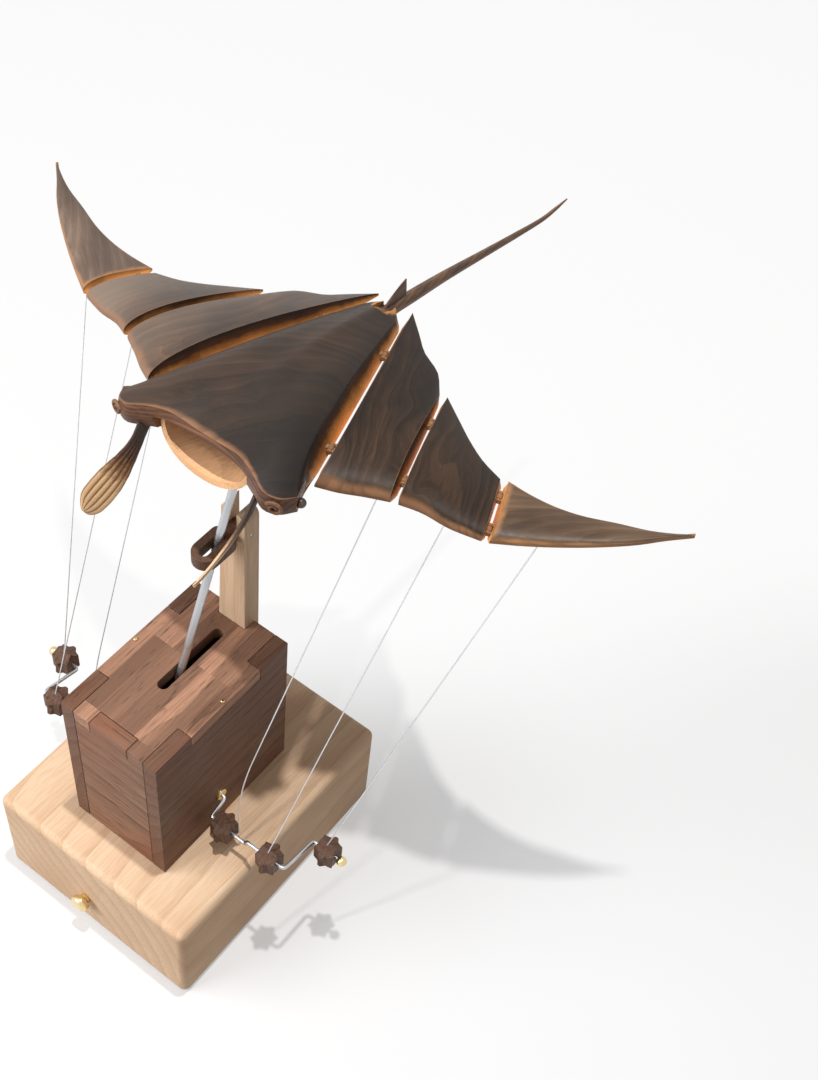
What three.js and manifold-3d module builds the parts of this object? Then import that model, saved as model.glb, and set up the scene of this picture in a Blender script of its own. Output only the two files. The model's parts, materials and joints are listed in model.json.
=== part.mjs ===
// Manta ray automaton: a jointed wooden manta on a slanted steel rod, driven by one bent
// crankshaft that runs through a walnut box on a maple base. Millimetres, +Z up.
// The origin lies on the underside of the base, X = 0 is the middle plane of the manta and
// its box, and the manta's head looks along -Y.
import * as THREE from "three";
import { RoundedBoxGeometry } from "three/addons/geometries/RoundedBoxGeometry.js";
import { mergeVertices } from "three/addons/utils/BufferGeometryUtils.js";
import Module from "manifold-3d";

// Fits between neighbouring pieces
const glueGap = 0.3; // between pieces that touch
const runningGap = 0.07; // between a shaft and its bore, on the radius
const overrun = 1; // how far every cut runs past the face it opens

// Base block
const baseWidth = 152;
const baseDepth = 189;
const baseHeight = 79;
const baseEdge = 5;
const baseOffsetX = -2.5; // the block stands a little to the left of the box
const pocketDepth = 7; // clearance for the central throw, under the box

// Brass knob on the front of the base
const knobRadius = 6;
const knobLength = 8;
const knobNeckRadius = 3.6;
const knobX = -9;
const knobZ = 31;
const spindleRadius = 2;
const spindleLength = 26;

// Box
const boxWidth = 72;
const boxDepth = 113;
const boxHeight = 119;
const boxOffsetY = -11;
const boardThickness = 9.5;
const frontFinger = 29; // length of a side board's finger at the front corner
const backFinger = 25;
const tongueWidth = 28; // of the front board, let into the top
const slotWidth = 7;
const slotFront = -25.5;
const slotBack = 28;
const topPinRadius = 1.2;
const topPinLength = 9;
const topPinProud = 0.8;
const topPinInset = 2.5;
const topPinY = -9.3;

// Post and guide link
const postWidth = 20;
const postDepth = 12.5;
const postFront = 37;
const postHead = 22; // from the link's level to the top of the post
const postFoot = 120; // height of the notch in the back board that the post stands in
const postTaper = 3.5; // how much narrower the head is, on the left
const linkLevel = 279;
const postTop = linkLevel + postHead;
const linkThickness = 8;
const linkWidth = 16;
const linkFront = 8.5;
const linkSlotWidth = 5.8;
const linkSlotFront = 12.3;
const linkSlotBack = 31;
const linkShoulder = 34.6;
const linkPinRadius = 1.2;

// Lift rod
const rodRadius = 2.4;
const rodLean = 21.7; // degrees from upright, its head leans back
const rodTopDrop = 17; // from the middle of the upper lip down to the rod's head

// Crankshaft
const crankRadius = 1.2;
const axisY = -16;
const axisZ = 105;
const bendRadius = 3;
const centralThrow = 20.2;
const centralHalf = 12; // from the middle plane to the web
const outerThrow = 15;
const starPlaces = [51, 87.4, 109.6]; // each star block's X
const starPhases = [202, 178, 335]; // degrees from +Y towards +Z
const starThickness = 14;
const starRadius = 10.3;
const starWaistShare = 0.7;
const starPoints = 6;
const webClearance = 2.8; // from a block's side to the web next to it
const ballRadius = 3.2;
const bushRadius = 4;
const bushProud = 1.4;

// Block on the central throw
const crankBlockWidth = 10;
const crankBlockBelow = 8.5; // from the pin to the block's lower end
const crankBlockAbove = 13; // from the pin to the ends of its two cheeks, which hold the rod between them
const crankBlockFloor = 3.4; // from the pin to the floor between the cheeks
const rodFootGap = 1.2; // from that floor to the rod's foot, room for the foot to rock over it
const crankBlockBehind = 6; // from the pin to the block's back, towards the axis
const crankBlockAhead = 5.3; // from the pin to the open face, where the middle of the rod lies

// Wires
const wireRadius = 0.4;
const wireSides = 5;
const wireKnee = 52; // how far the first wire rises upright before it bends over
const wireBend = 45; // reach of that bend

// Manta
const halfSpan = 220;
const mantaLength = 160;
const noseY = 20;
const mantaLevel = 366; // of the middle of the upper lip
const wingDrop = 18; // the lowest seam lies this far below the lip
const rimThickness = 1.6;
const noseLift = 4.4;
const hornLift = 3.5;
const crownHeight = 11;
const chinDepth = 5;
const bellyDepth = 9;
const rearHeight = 3;
const seamHeights = [10.5, 9.5, 4.6, 0.7]; // top above the seam's line: three seams, then the tip
const seamDepths = [3, 2.8, 1.7, 0.4]; // underside below the seam's line
const bodyBevel = 6.6; // how far the body's top edge stands back from the first seam
const seamInnerBevels = [bodyBevel, 2.4, 0.9]; // the same on the inner side of each seam
const seamOuterBevels = [5.4, 2.8, 3.6]; // and on its outer side
const seamGap = 1.2; // between two segments at the underside
const seamEndGap = 4.4; // between two segments at both ends of a seam

// Hinges in the seams
const hingePinRadius = 1;
const hingePinSides = 8;
const knuckleRadius = 2.2;
const knuckleSides = 8;
const knuckleLength = 3;
const cheekLength = 1.6;
const knuckleReach = 5;
const hingeShares = [0.19, 0.727]; // places of the two hinges along each seam

// Mouth
const jawHalfWidth = 30.6;
const jawDepth = 24;
const jawWall = 2.6;
const jawRise = 1.5; // of the jaw's upper edge above the middle of the lip
const jawInset = 0.3; // behind the middle of the lip
const jawLength = 35;
const jawJut = 5.6; // how far the bottom of the rim stands ahead of its ends

// Fins at the mouth's corners
const headFinRootShares = [0.17, -0.041, 0.1]; // across, along and down, on the lip
const headFinThickness = 3.6;
const headFinWidth = 16.5;
const headFinDrop = 24;
const headFinReach = 46;
const headFinBelow = 2.6; // from the chin's underside down to the middle of the fin's root
const headFinLean = 28; // degrees that the broad face leans outwards
const eyeRadius = 3.2;
const eyeSetback = 5; // behind the middle of the lip
const eyeDrop = 7.5; // below it

// Tail
const tailFrontShare = 0.884; // along the manta
const tailLength = 205.5;
const tailDrop = 14; // below the middle of the lip
const tailFall = 36.5;
const tailWidth = 8;
const tailPinRadius = 1;
const tailPinLength = 14;
const tailPinInset = 5; // from the tail's front
const dorsalHeight = 13;
const dorsalLength = 26;
const dorsalThickness = 2.6;
const scoopRadius = 9;
const scoopRise = 12; // the scoop's axis above the tail

// Outlines of the manta as shares of halfSpan, mantaLength and wingDrop
const lipShares = [
  [0, 0, 0], [0.1, -0.008, 0.03], [0.165, -0.04, 0.1], [0.205, -0.062, 0.15],
  [0.238, -0.045, 0.2], [0.262, 0.01, 0.28],
];
const bodyTipShares = [0, 0.99, 0.806];
const bodyCornerShare = 0.919; // place of the body's rear corner along the first seam
const cornerStationShare = 0.15; // the part of the body's half that lies behind that corner
const frontShares = [
  [[0.243, 0.103, 0.35], [0.3, 0.141, 0.42], [0.35, 0.184, 0.48], [0.412, 0.231, 0.54]],
  [[0.412, 0.231, 0.54], [0.468, 0.267, 0.7], [0.541, 0.289, 0.87], [0.621, 0.327, 1]],
  [
    [0.621, 0.327, 1], [0.693, 0.383, 0.9], [0.777, 0.455, 0.75], [0.85, 0.525, 0.6],
    [0.905, 0.588, 0.5], [0.949, 0.65, 0.42], [0.998, 0.712, 0.333],
  ],
];
const rearShares = [
  [
    [0.045, 0.991, 0.8], [0.111, 0.922, 0.85], [0.158, 0.871, 0.88], [0.186, 0.853, 0.89],
    [0.232, 0.824, 0.92], [0.284, 0.747, 0.944],
  ],
  [
    [0.284, 0.747, 0.944], [0.369, 0.679, 0.96], [0.42, 0.639, 0.97], [0.484, 0.599, 0.99],
    [0.552, 0.574, 1],
  ],
  [
    [0.552, 0.574, 1], [0.618, 0.566, 0.92], [0.686, 0.568, 0.83], [0.755, 0.584, 0.72],
    [0.832, 0.62, 0.6], [0.911, 0.655, 0.48], [0.982, 0.706, 0.36], [0.995, 0.722, 0.333],
  ],
];
const chordShares = [0, 0.08, 0.22, 0.4, 0.58, 0.76, 0.92, 1];
const stationCounts = [4, 5, 7];
const bodyStations = 16;
const wireShares = [[0.75, 0.15], [0.6, 0.3], [0.3, 0.3]]; // along and across a segment

const wasm = await Module();
wasm.setup();

const walnut = new THREE.MeshStandardMaterial({ color: 0x7a5f50, roughness: 0.55, metalness: 0 });
const maple = new THREE.MeshStandardMaterial({ color: 0xdcbd98, roughness: 0.5, metalness: 0 });
const charred = new THREE.MeshStandardMaterial({ color: 0x463c36, roughness: 0.5, metalness: 0 });
const tipWood = new THREE.MeshStandardMaterial({ color: 0x85705e, roughness: 0.55, metalness: 0 });
const paleWood = new THREE.MeshStandardMaterial({ color: 0xd9ae7c, roughness: 0.5, metalness: 0 });
const steel = new THREE.MeshStandardMaterial({ color: 0xa8aab0, roughness: 0.3, metalness: 1 });
const brass = new THREE.MeshStandardMaterial({ color: 0xd8c07a, roughness: 0.3, metalness: 1 });
const eyeGlass = new THREE.MeshStandardMaterial({ color: 0x23262c, roughness: 0.15, metalness: 0 });

const model = new THREE.Group();
const rightHalf = new THREE.Group();
const leftHalf = new THREE.Group();
leftHalf.scale.x = -1;
model.add(rightHalf, leftHalf);

const radians = THREE.MathUtils.degToRad;
const lerp = THREE.MathUtils.lerp;

// A closed geometry as a solid that can be joined and cut
function solidOf(geometry) {
  const bare = geometry.clone();
  bare.deleteAttribute("normal");
  bare.deleteAttribute("uv");
  const merged = mergeVertices(bare, 1e-4);
  const mesh = new wasm.Mesh({
    numProp: 3,
    vertProperties: merged.attributes.position.array,
    triVerts: new Uint32Array(merged.index.array),
  });
  return new wasm.Manifold(mesh);
}

function geometryOf(solid) {
  const mesh = solid.getMesh();
  const geometry = new THREE.BufferGeometry();
  geometry.setAttribute("position", new THREE.BufferAttribute(mesh.vertProperties, 3));
  geometry.setIndex(new THREE.BufferAttribute(mesh.triVerts, 1));
  geometry.computeVertexNormals();
  return geometry;
}

// Adds one named piece; shape is a geometry or a solid
function place(name, shape, material, parent = model) {
  const geometry = shape.isBufferGeometry ? shape : geometryOf(shape);
  const mesh = new THREE.Mesh(geometry, material);
  mesh.name = name;
  parent.add(mesh);
}

// The same piece at both sides, the left one mirrored
function placePair(name, shape, material) {
  const geometry = shape.isBufferGeometry ? shape : geometryOf(shape);
  for (const [side, half] of [["right", rightHalf], ["left", leftHalf]]) {
    place(name.replace("SIDE", side), geometry, material, half);
  }
}

function box(minX, maxX, minY, maxY, minZ, maxZ) {
  const geometry = new THREE.BoxGeometry(maxX - minX, maxY - minY, maxZ - minZ);
  geometry.translate((minX + maxX) / 2, (minY + maxY) / 2, (minZ + maxZ) / 2);
  return solidOf(geometry);
}

// A cylinder whose sides touch the radius from outside when hole is true, from inside if not
function cylinder(radius, length, direction, centre, sides = 12, hole = false) {
  const outer = hole ? radius / Math.cos(Math.PI / sides) : radius;
  const geometry = new THREE.CylinderGeometry(outer, outer, length, sides);
  const turn = new THREE.Quaternion().setFromUnitVectors(
    new THREE.Vector3(0, 1, 0),
    direction.clone().normalize(),
  );
  geometry.applyQuaternion(turn);
  geometry.translate(centre.x, centre.y, centre.z);
  return solidOf(geometry);
}

// An outline drawn in the YZ plane, extruded along X about the middle plane
function acrossX(shape, thickness, curveSegments = 8) {
  const geometry = new THREE.ExtrudeGeometry(shape, {
    depth: thickness,
    bevelEnabled: false,
    curveSegments,
  });
  geometry.translate(0, 0, -thickness / 2);
  geometry.applyMatrix4(new THREE.Matrix4().makeBasis(
    new THREE.Vector3(0, 1, 0),
    new THREE.Vector3(0, 0, 1),
    new THREE.Vector3(1, 0, 0),
  ));
  return geometry;
}

// Joins rings of equal length into one closed skin; a ring lists its points in order
function skin(rings, capStrips) {
  const size = rings[0].length;
  const positions = rings.flat().flatMap((p) => [p.x, p.y, p.z]);
  const index = [];
  const quad = (a, b, c, d) => index.push(a, b, c, a, c, d);
  for (let r = 0; r + 1 < rings.length; r++) {
    for (let k = 0; k < size; k++) {
      const next = (k + 1) % size;
      quad(r * size + k, r * size + next, (r + 1) * size + next, (r + 1) * size + k);
    }
  }
  const last = (rings.length - 1) * size;
  if (capStrips) {
    for (let k = 0; k + 1 < size / 2; k++) {
      const mate = size - 1 - k;
      quad(k, mate, mate - 1, k + 1);
      quad(last + k, last + k + 1, last + mate - 1, last + mate);
    }
  } else {
    for (let k = 1; k + 1 < size; k++) {
      index.push(0, k + 1, k);
      index.push(last, last + k, last + k + 1);
    }
  }
  const geometry = new THREE.BufferGeometry();
  geometry.setAttribute("position", new THREE.Float32BufferAttribute(positions, 3));
  geometry.setIndex(index);
  return geometry;
}

// A skin whose faces are turned outwards, as a solid
function outward(geometry) {
  const index = geometry.index.array;
  const p = geometry.attributes.position;
  const a = new THREE.Vector3();
  const b = new THREE.Vector3();
  const c = new THREE.Vector3();
  let volume = 0;
  for (let i = 0; i < index.length; i += 3) {
    a.fromBufferAttribute(p, index[i]);
    b.fromBufferAttribute(p, index[i + 1]);
    c.fromBufferAttribute(p, index[i + 2]);
    volume += a.dot(b.cross(c));
  }
  if (volume < 0) {
    for (let i = 0; i < index.length; i += 3) {
      [index[i + 1], index[i + 2]] = [index[i + 2], index[i + 1]];
    }
  }
  return solidOf(geometry);
}

// Rod of round section along a list of points, its radius given for each point
function rodAlong(points, radiusAt, sides) {
  const rings = [];
  const normal = new THREE.Vector3();
  points.forEach((point, i) => {
    const before = points[Math.max(i - 1, 0)];
    const after = points[Math.min(i + 1, points.length - 1)];
    const tangent = after.clone().sub(before).normalize();
    if (i === 0) {
      const upright = Math.abs(tangent.z) < 0.9;
      normal.set(upright ? 0 : 1, 0, upright ? 1 : 0);
    }
    normal.addScaledVector(tangent, -normal.dot(tangent)).normalize();
    const across = tangent.clone().cross(normal);
    const radius = radiusAt(i);
    const ring = [];
    for (let k = 0; k < sides; k++) {
      const angle = (2 * Math.PI * k) / sides;
      ring.push(point.clone()
        .addScaledVector(normal, radius * Math.cos(angle))
        .addScaledVector(across, radius * Math.sin(angle)));
    }
    rings.push(ring);
  });
  return outward(skin(rings, false));
}

// The points of a bent rod: corners rounded to the bend radius
function bent(corners, radius, steps) {
  const points = [corners[0]];
  for (let i = 1; i + 1 < corners.length; i++) {
    const corner = corners[i];
    const back = corners[i - 1].clone().sub(corner);
    const on = corners[i + 1].clone().sub(corner);
    const reach = Math.min(radius, back.length() * 0.48, on.length() * 0.48);
    const arc = new THREE.QuadraticBezierCurve3(
      corner.clone().addScaledVector(back.normalize(), reach),
      corner,
      corner.clone().addScaledVector(on.normalize(), reach),
    );
    points.push(...arc.getPoints(steps));
  }
  points.push(corners[corners.length - 1]);
  return points;
}

// Base and its knob
const baseTop = baseHeight;
const boxFront = boxOffsetY - boxDepth / 2;
const boxBack = boxOffsetY + boxDepth / 2;
const boxTop = baseTop + boxHeight;
const topUnderside = boxTop - boardThickness;
const innerHalf = boxWidth / 2 - boardThickness;
const baseFront = -baseDepth / 2;
const blockSweep = centralThrow + Math.hypot(crankBlockBelow, crankBlockBehind) + overrun;
const sideways = new THREE.Vector3(1, 0, 0);
const forwards = new THREE.Vector3(0, 1, 0);

function makeBase() {
  const block = new RoundedBoxGeometry(baseWidth, baseDepth, baseHeight, 2, baseEdge);
  block.translate(baseOffsetX, 0, baseHeight / 2);
  const pocketHalf = centralHalf + crankRadius + overrun;
  const pocket = box(
    -pocketHalf, pocketHalf,
    axisY - blockSweep, axisY + blockSweep,
    baseTop - pocketDepth, baseTop + overrun,
  );
  const hole = cylinder(
    spindleRadius + runningGap, spindleLength * 2, forwards,
    new THREE.Vector3(knobX, baseFront, knobZ), 12, true,
  );
  place("base", solidOf(block).subtract(pocket).subtract(hole), maple);
}

function makeKnob() {
  const profile = [
    [0, 0], [knobNeckRadius, 0], [knobNeckRadius, knobLength * 0.2],
    [knobRadius * 0.94, knobLength * 0.3], [knobRadius, knobLength * 0.42],
    [knobRadius, knobLength * 0.8], [knobRadius * 0.86, knobLength], [0, knobLength],
  ].map(([r, h]) => new THREE.Vector2(r, h));
  const knob = new THREE.LatheGeometry(profile, 16);
  knob.rotateX(Math.PI);
  knob.translate(knobX, baseFront - glueGap, knobZ);
  const spindleEnd = knobLength / 2;
  const spindle = cylinder(
    spindleRadius, spindleLength, forwards,
    new THREE.Vector3(knobX, baseFront - spindleEnd + spindleLength / 2, knobZ), 12,
  );
  const socket = cylinder(
    spindleRadius + runningGap, spindleEnd * 2, forwards,
    new THREE.Vector3(knobX, baseFront, knobZ), 12, true,
  );
  place("base_knob", outward(mergeVertices(bareOf(knob), 1e-4)).subtract(socket), brass);
  place("knob_spindle", spindle, steel);
}

function bareOf(geometry) {
  geometry.deleteAttribute("normal");
  geometry.deleteAttribute("uv");
  return geometry;
}

// Box boards, finger jointed at the top corners
function makeBox() {
  const outer = boxWidth / 2;
  const fingerEnd = boxFront + frontFinger;
  const fingerStart = boxBack - backFinger;
  const bottom = baseTop + glueGap;
  const axis = new THREE.Vector3(outer, axisY, axisZ);

  const side = box(innerHalf, outer, boxFront, boxBack, bottom, boxTop)
    .subtract(box(
      innerHalf - overrun, outer + overrun,
      fingerEnd - glueGap, fingerStart + glueGap,
      topUnderside, boxTop + overrun,
    ))
    .subtract(cylinder(
      bushRadius + runningGap, boardThickness * 3, sideways, axis, 16, true,
    ))
    .subtract(topPinHole(outer));
  placePair("box_side_SIDE", side, walnut);

  const inside = innerHalf - glueGap;
  const front = box(-inside, inside, boxFront, boxFront + boardThickness, bottom, topUnderside - glueGap)
    .add(box(
      -tongueWidth / 2, tongueWidth / 2, boxFront, boxFront + boardThickness,
      topUnderside - boardThickness, boxTop,
    ));
  place("box_front", front, walnut);

  const notchHalf = postWidth / 2 + glueGap;
  const back = box(-inside, inside, boxBack - boardThickness, boxBack, bottom, topUnderside - glueGap)
    .subtract(box(
      -notchHalf, notchHalf, boxBack - boardThickness - overrun, boxBack + overrun,
      postFoot, boxTop,
    ));
  place("box_back", back, walnut);

  const slot = slotSolid(slotWidth / 2, slotFront, slotBack, topUnderside - overrun, boxTop + overrun);
  const earFront = fingerEnd;
  const earBack = fingerStart;
  const top = box(-inside, inside, boxFront, boxBack, topUnderside, boxTop)
    .add(box(-outer, outer, earFront, earBack, topUnderside + glueGap, boxTop))
    .subtract(box(
      -tongueWidth / 2 - glueGap, tongueWidth / 2 + glueGap,
      boxFront - overrun, boxFront + boardThickness + glueGap,
      topUnderside - overrun, boxTop + overrun,
    ))
    .subtract(box(
      -notchHalf, notchHalf, postFront - glueGap, boxBack + overrun,
      topUnderside - overrun, boxTop + overrun,
    ))
    .subtract(slot)
    .subtract(topPinHole(outer))
    .subtract(topPinHole(-outer));
  place("box_top", top, walnut);

  const pin = cylinder(
    topPinRadius, topPinLength, new THREE.Vector3(0, 0, 1),
    new THREE.Vector3(outer - topPinInset, topPinY, boxTop + topPinProud - topPinLength / 2), 12,
  );
  placePair("top_pin_SIDE", pin, brass);

  const bushLength = boardThickness + bushProud;
  const bush = cylinder(
    bushRadius, bushLength, sideways,
    new THREE.Vector3(innerHalf + bushLength / 2, axisY, axisZ), 16,
  ).subtract(cylinder(
    crankRadius + runningGap, bushLength * 2, sideways, axis, 12, true,
  ));
  placePair("bush_SIDE", bush, brass);
}

function topPinHole(outer) {
  const x = outer - Math.sign(outer) * topPinInset;
  const depth = topPinLength - topPinProud + glueGap;
  return cylinder(
    topPinRadius + runningGap, depth * 2, new THREE.Vector3(0, 0, 1),
    new THREE.Vector3(x, topPinY, boxTop), 12, true,
  );
}

// An upright slot with round ends
function slotSolid(radius, front, back, low, high) {
  const shape = new THREE.Shape();
  shape.absarc(0, front + radius, radius, Math.PI, 2 * Math.PI);
  shape.absarc(0, back - radius, radius, 0, Math.PI);
  const geometry = new THREE.ExtrudeGeometry(shape, {
    depth: high - low,
    bevelEnabled: false,
    curveSegments: 6,
  });
  geometry.translate(0, 0, low);
  return solidOf(geometry);
}

// Post with a forked head, and the link that swings in the fork
const linkPinY = postFront + postDepth / 2;

function makePost() {
  const half = postWidth / 2;
  const shape = new THREE.Shape();
  shape.moveTo(-half, postFoot + glueGap);
  shape.lineTo(half, postFoot + glueGap);
  shape.lineTo(half, postTop - half);
  shape.quadraticCurveTo(half, postTop - half * 0.4, half * 0.5, postTop - half * 0.3);
  shape.lineTo(-half + postTaper + half * 0.2, postTop);
  shape.lineTo(-half + postTaper, postTop - half * 0.3);
  shape.lineTo(-half, boxTop);
  const geometry = new THREE.ExtrudeGeometry(shape, {
    depth: postDepth,
    bevelEnabled: false,
    curveSegments: 5,
  });
  geometry.rotateX(Math.PI / 2);
  geometry.translate(0, postFront + postDepth, 0);
  const tongueHalf = linkThickness / 2 + glueGap;
  const fork = box(
    -tongueHalf, tongueHalf, postFront - overrun, postFront + postDepth + overrun,
    linkLevel - linkThickness, postTop + overrun,
  );
  const pinHole = cylinder(
    linkPinRadius + runningGap, postWidth * 2, sideways,
    new THREE.Vector3(0, linkPinY, linkLevel), 12, true,
  );
  place("post", solidOf(geometry).subtract(fork).subtract(pinHole), maple);
  const pin = cylinder(
    linkPinRadius, postWidth - postTaper - glueGap * 2, sideways,
    new THREE.Vector3(postTaper / 2, linkPinY, linkLevel), 12,
  );
  place("link_pin", pin, steel);
}

function makeLink() {
  const half = linkWidth / 2;
  const tongueHalf = linkThickness / 2;
  const shape = new THREE.Shape();
  shape.absarc(0, linkFront + half, half, Math.PI, 2 * Math.PI);
  shape.lineTo(half, linkShoulder - half / 2);
  shape.quadraticCurveTo(half, linkShoulder, tongueHalf, linkShoulder);
  shape.lineTo(tongueHalf, linkPinY + tongueHalf);
  shape.lineTo(-tongueHalf, linkPinY + tongueHalf);
  shape.lineTo(-tongueHalf, linkShoulder);
  shape.quadraticCurveTo(-half, linkShoulder, -half, linkShoulder - half / 2);
  const geometry = new THREE.ExtrudeGeometry(shape, {
    depth: linkThickness,
    bevelEnabled: false,
    curveSegments: 6,
  });
  geometry.translate(0, 0, linkLevel - linkThickness / 2);
  const low = linkLevel - linkThickness / 2 - overrun;
  const high = linkLevel + linkThickness / 2 + overrun;
  const roundEnd = cylinder(
    tongueHalf, linkWidth, sideways, new THREE.Vector3(0, linkPinY, linkLevel), 16,
  ).add(box(-half - overrun, half + overrun, linkFront - overrun, linkPinY, low, high));
  const link = solidOf(geometry)
    .intersect(roundEnd)
    .subtract(slotSolid(linkSlotWidth / 2, linkSlotFront, linkSlotBack, low, high))
    .subtract(cylinder(
      linkPinRadius + runningGap, linkWidth * 2, sideways,
      new THREE.Vector3(0, linkPinY, linkLevel), 12, true,
    ));
  place("guide_link", link, walnut);
}

// Crankshaft: the throws' places, from +Y towards +Z about the axis
const rodTilt = radians(rodLean);
const alongRod = new THREE.Vector3(0, Math.sin(rodTilt), Math.cos(rodTilt));
const acrossRod = new THREE.Vector3(0, Math.cos(rodTilt), -Math.sin(rodTilt));
const throwPoint = (x, length, degrees) => new THREE.Vector3(
  x,
  axisY + length * Math.cos(radians(degrees)),
  axisZ + length * Math.sin(radians(degrees)),
);
const centralPhase = 180 - rodLean;
const centralPin = throwPoint(0, centralThrow, centralPhase);
const rodCentre = centralPin.clone().addScaledVector(acrossRod, -crankBlockAhead);
const starCentres = starPlaces.map((x, i) => throwPoint(x, outerThrow, starPhases[i]));

function makeCrankshaft() {
  const half = [];
  const reach = starThickness / 2 + webClearance + crankRadius;
  half.push(throwPoint(centralHalf, centralThrow, centralPhase));
  half.push(throwPoint(centralHalf, 0, 0));
  const webs = [starPlaces[0] - reach];
  webs.push((starPlaces[0] + starPlaces[1]) / 2);
  webs.push((starPlaces[1] + starPlaces[2]) / 2);
  half.push(throwPoint(webs[0], 0, 0));
  starPhases.forEach((phase, i) => {
    half.push(throwPoint(webs[i], outerThrow, phase));
    if (i + 1 < webs.length) {
      half.push(throwPoint(webs[i + 1], outerThrow, phase));
    }
  });
  const ballX = starPlaces[2] + starThickness / 2 + ballRadius + glueGap;
  half.push(throwPoint(ballX, outerThrow, starPhases[2]));
  const mirrored = half.map((p) => new THREE.Vector3(-p.x, p.y, p.z)).reverse();
  const points = bent([...mirrored, ...half], bendRadius, 3);
  place("crankshaft", rodAlong(points, () => crankRadius, 8), steel);

  const ballCentre = half[half.length - 1];
  const ball = solidOf(new THREE.SphereGeometry(ballRadius, 12, 8).translate(
    ballCentre.x, ballCentre.y, ballCentre.z,
  )).subtract(cylinder(
    crankRadius + runningGap, ballRadius * 2, sideways,
    ballCentre.clone().addScaledVector(sideways, glueGap - ballRadius), 12, true,
  ));
  placePair("crank_ball_SIDE", ball, brass);
}

function starShape(radius) {
  const shape = new THREE.Shape();
  for (let k = 0; k < starPoints * 2; k++) {
    const reach = k % 2 ? radius * starWaistShare : radius;
    const angle = Math.PI / 2 + (Math.PI * k) / starPoints;
    shape[k ? "lineTo" : "moveTo"](reach * Math.cos(angle), reach * Math.sin(angle));
  }
  return shape;
}

// A star from the side and a star from above, with a point up that takes the wire
function makeStarBlocks() {
  const fromSide = solidOf(acrossX(starShape(starRadius), starThickness));
  const above = new THREE.ExtrudeGeometry(starShape(starRadius), {
    depth: starRadius * 2,
    bevelEnabled: false,
  });
  above.translate(0, 0, -starRadius);
  above.scale(starThickness / 2 / (starRadius * Math.cos(Math.PI / starPoints)), 1, 1);
  const block = fromSide.intersect(solidOf(above));
  starCentres.forEach((centre, i) => {
    const bored = block.subtract(cylinder(
      crankRadius + runningGap, starThickness * 2, sideways, new THREE.Vector3(), 12, true,
    ));
    const geometry = geometryOf(bored);
    geometry.translate(centre.x, centre.y, centre.z);
    placePair("star_block_SIDE_" + (i + 1), geometry, walnut);
  });
}

function makeCrankBlock() {
  const shape = new THREE.Shape();
  const corner = crankBlockBehind / 2;
  shape.moveTo(-crankBlockAhead, crankBlockAbove);
  shape.lineTo(-crankBlockAhead, -crankBlockBelow);
  shape.lineTo(crankBlockBehind - corner, -crankBlockBelow);
  shape.quadraticCurveTo(crankBlockBehind, -crankBlockBelow, crankBlockBehind, corner - crankBlockBelow);
  shape.lineTo(crankBlockBehind, crankBlockBelow);
  shape.quadraticCurveTo(crankBlockBehind, crankBlockAbove, crankBlockBehind - corner, crankBlockAbove);
  const slotHalf = rodRadius + glueGap;
  const geometry = geometryOf(
    solidOf(acrossX(shape, crankBlockWidth, 4)).subtract(box(
      -slotHalf, slotHalf,
      -crankBlockAhead - overrun, crankBlockBehind + overrun,
      crankBlockFloor, crankBlockAbove + overrun,
    )),
  );
  geometry.rotateX(-rodTilt);
  geometry.translate(centralPin.x, centralPin.y, centralPin.z);
  const block = solidOf(geometry)
    .subtract(cylinder(
      crankRadius + runningGap, crankBlockWidth * 2, sideways, centralPin, 12, true,
    ))
    .subtract(cylinder(
      slotHalf, crankBlockAbove * 2, alongRod, rodCentre, 16, true,
    ));
  place("crank_block", block, walnut);
}

const rodTopLevel = mantaLevel - rodTopDrop;

function makeLiftRod() {
  const length = (rodTopLevel - rodCentre.z) / alongRod.z;
  const foot = crankBlockFloor + rodFootGap;
  const middle = rodCentre.clone().addScaledVector(alongRod, (foot + length) / 2);
  place("lift_rod", cylinder(rodRadius, length - foot, alongRod, middle, 16), steel);
}

// Places on the manta, from shares
const onManta = ([x, y, drop]) => new THREE.Vector3(
  x * halfSpan,
  noseY + y * mantaLength,
  mantaLevel - drop * wingDrop,
);
const seamFronts = frontShares.map((edge) => onManta(edge[0]));
const seamRears = rearShares.map((edge) => onManta(edge[0]));
const seamLines = seamFronts.map((front, i) => {
  const along = seamRears[i].clone().sub(front);
  const outwards = new THREE.Vector3(along.y, -along.x, 0).normalize();
  return { front, along, outwards, axis: along.clone().normalize() };
});

// How the top swells from the front edge to the rear edge, 1 at its highest
const swell = (share) => Math.sin(Math.PI * share ** 0.6) ** 0.8 || 0;
// Wider at both ends of a seam than between them
const seamOpening = (share) => Math.max(0, 1 - Math.min(share, 1 - share) / 0.08);

// A ring round a wing section: along the top from front to rear and back along the underside
function sectionRing(front, rear, height, depth, shift) {
  const top = [];
  const bottom = [];
  for (const share of chordShares) {
    const middle = front.clone().lerp(rear, share);
    const rise = rimThickness / 2 + height * swell(share);
    const fall = rimThickness / 2 + depth * swell(share);
    const moved = shift ? shift(share) : { top: new THREE.Vector3(), bottom: new THREE.Vector3() };
    top.push(middle.clone().add(moved.top).setZ(middle.z + rise));
    bottom.unshift(middle.clone().add(moved.bottom).setZ(middle.z - fall));
  }
  return [...top, ...bottom];
}

// How far a segment's face stands back from its seam, at the top and at the underside
function standBack(seam, bevel, sign) {
  return (share) => {
    const ends = (seamEndGap / 2 - seamGap / 2) * seamOpening(share);
    const low = seamGap / 2 + ends;
    const high = seamEndGap / 2 + (bevel - seamEndGap / 2) * swell(share);
    return {
      top: seamLines[seam].outwards.clone().multiplyScalar(sign * Math.max(high, low)),
      bottom: seamLines[seam].outwards.clone().multiplyScalar(sign * low),
    };
  };
}

const edgeCurve = (shares) => new THREE.CatmullRomCurve3(shares.map(onManta), false, "centripetal");

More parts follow.
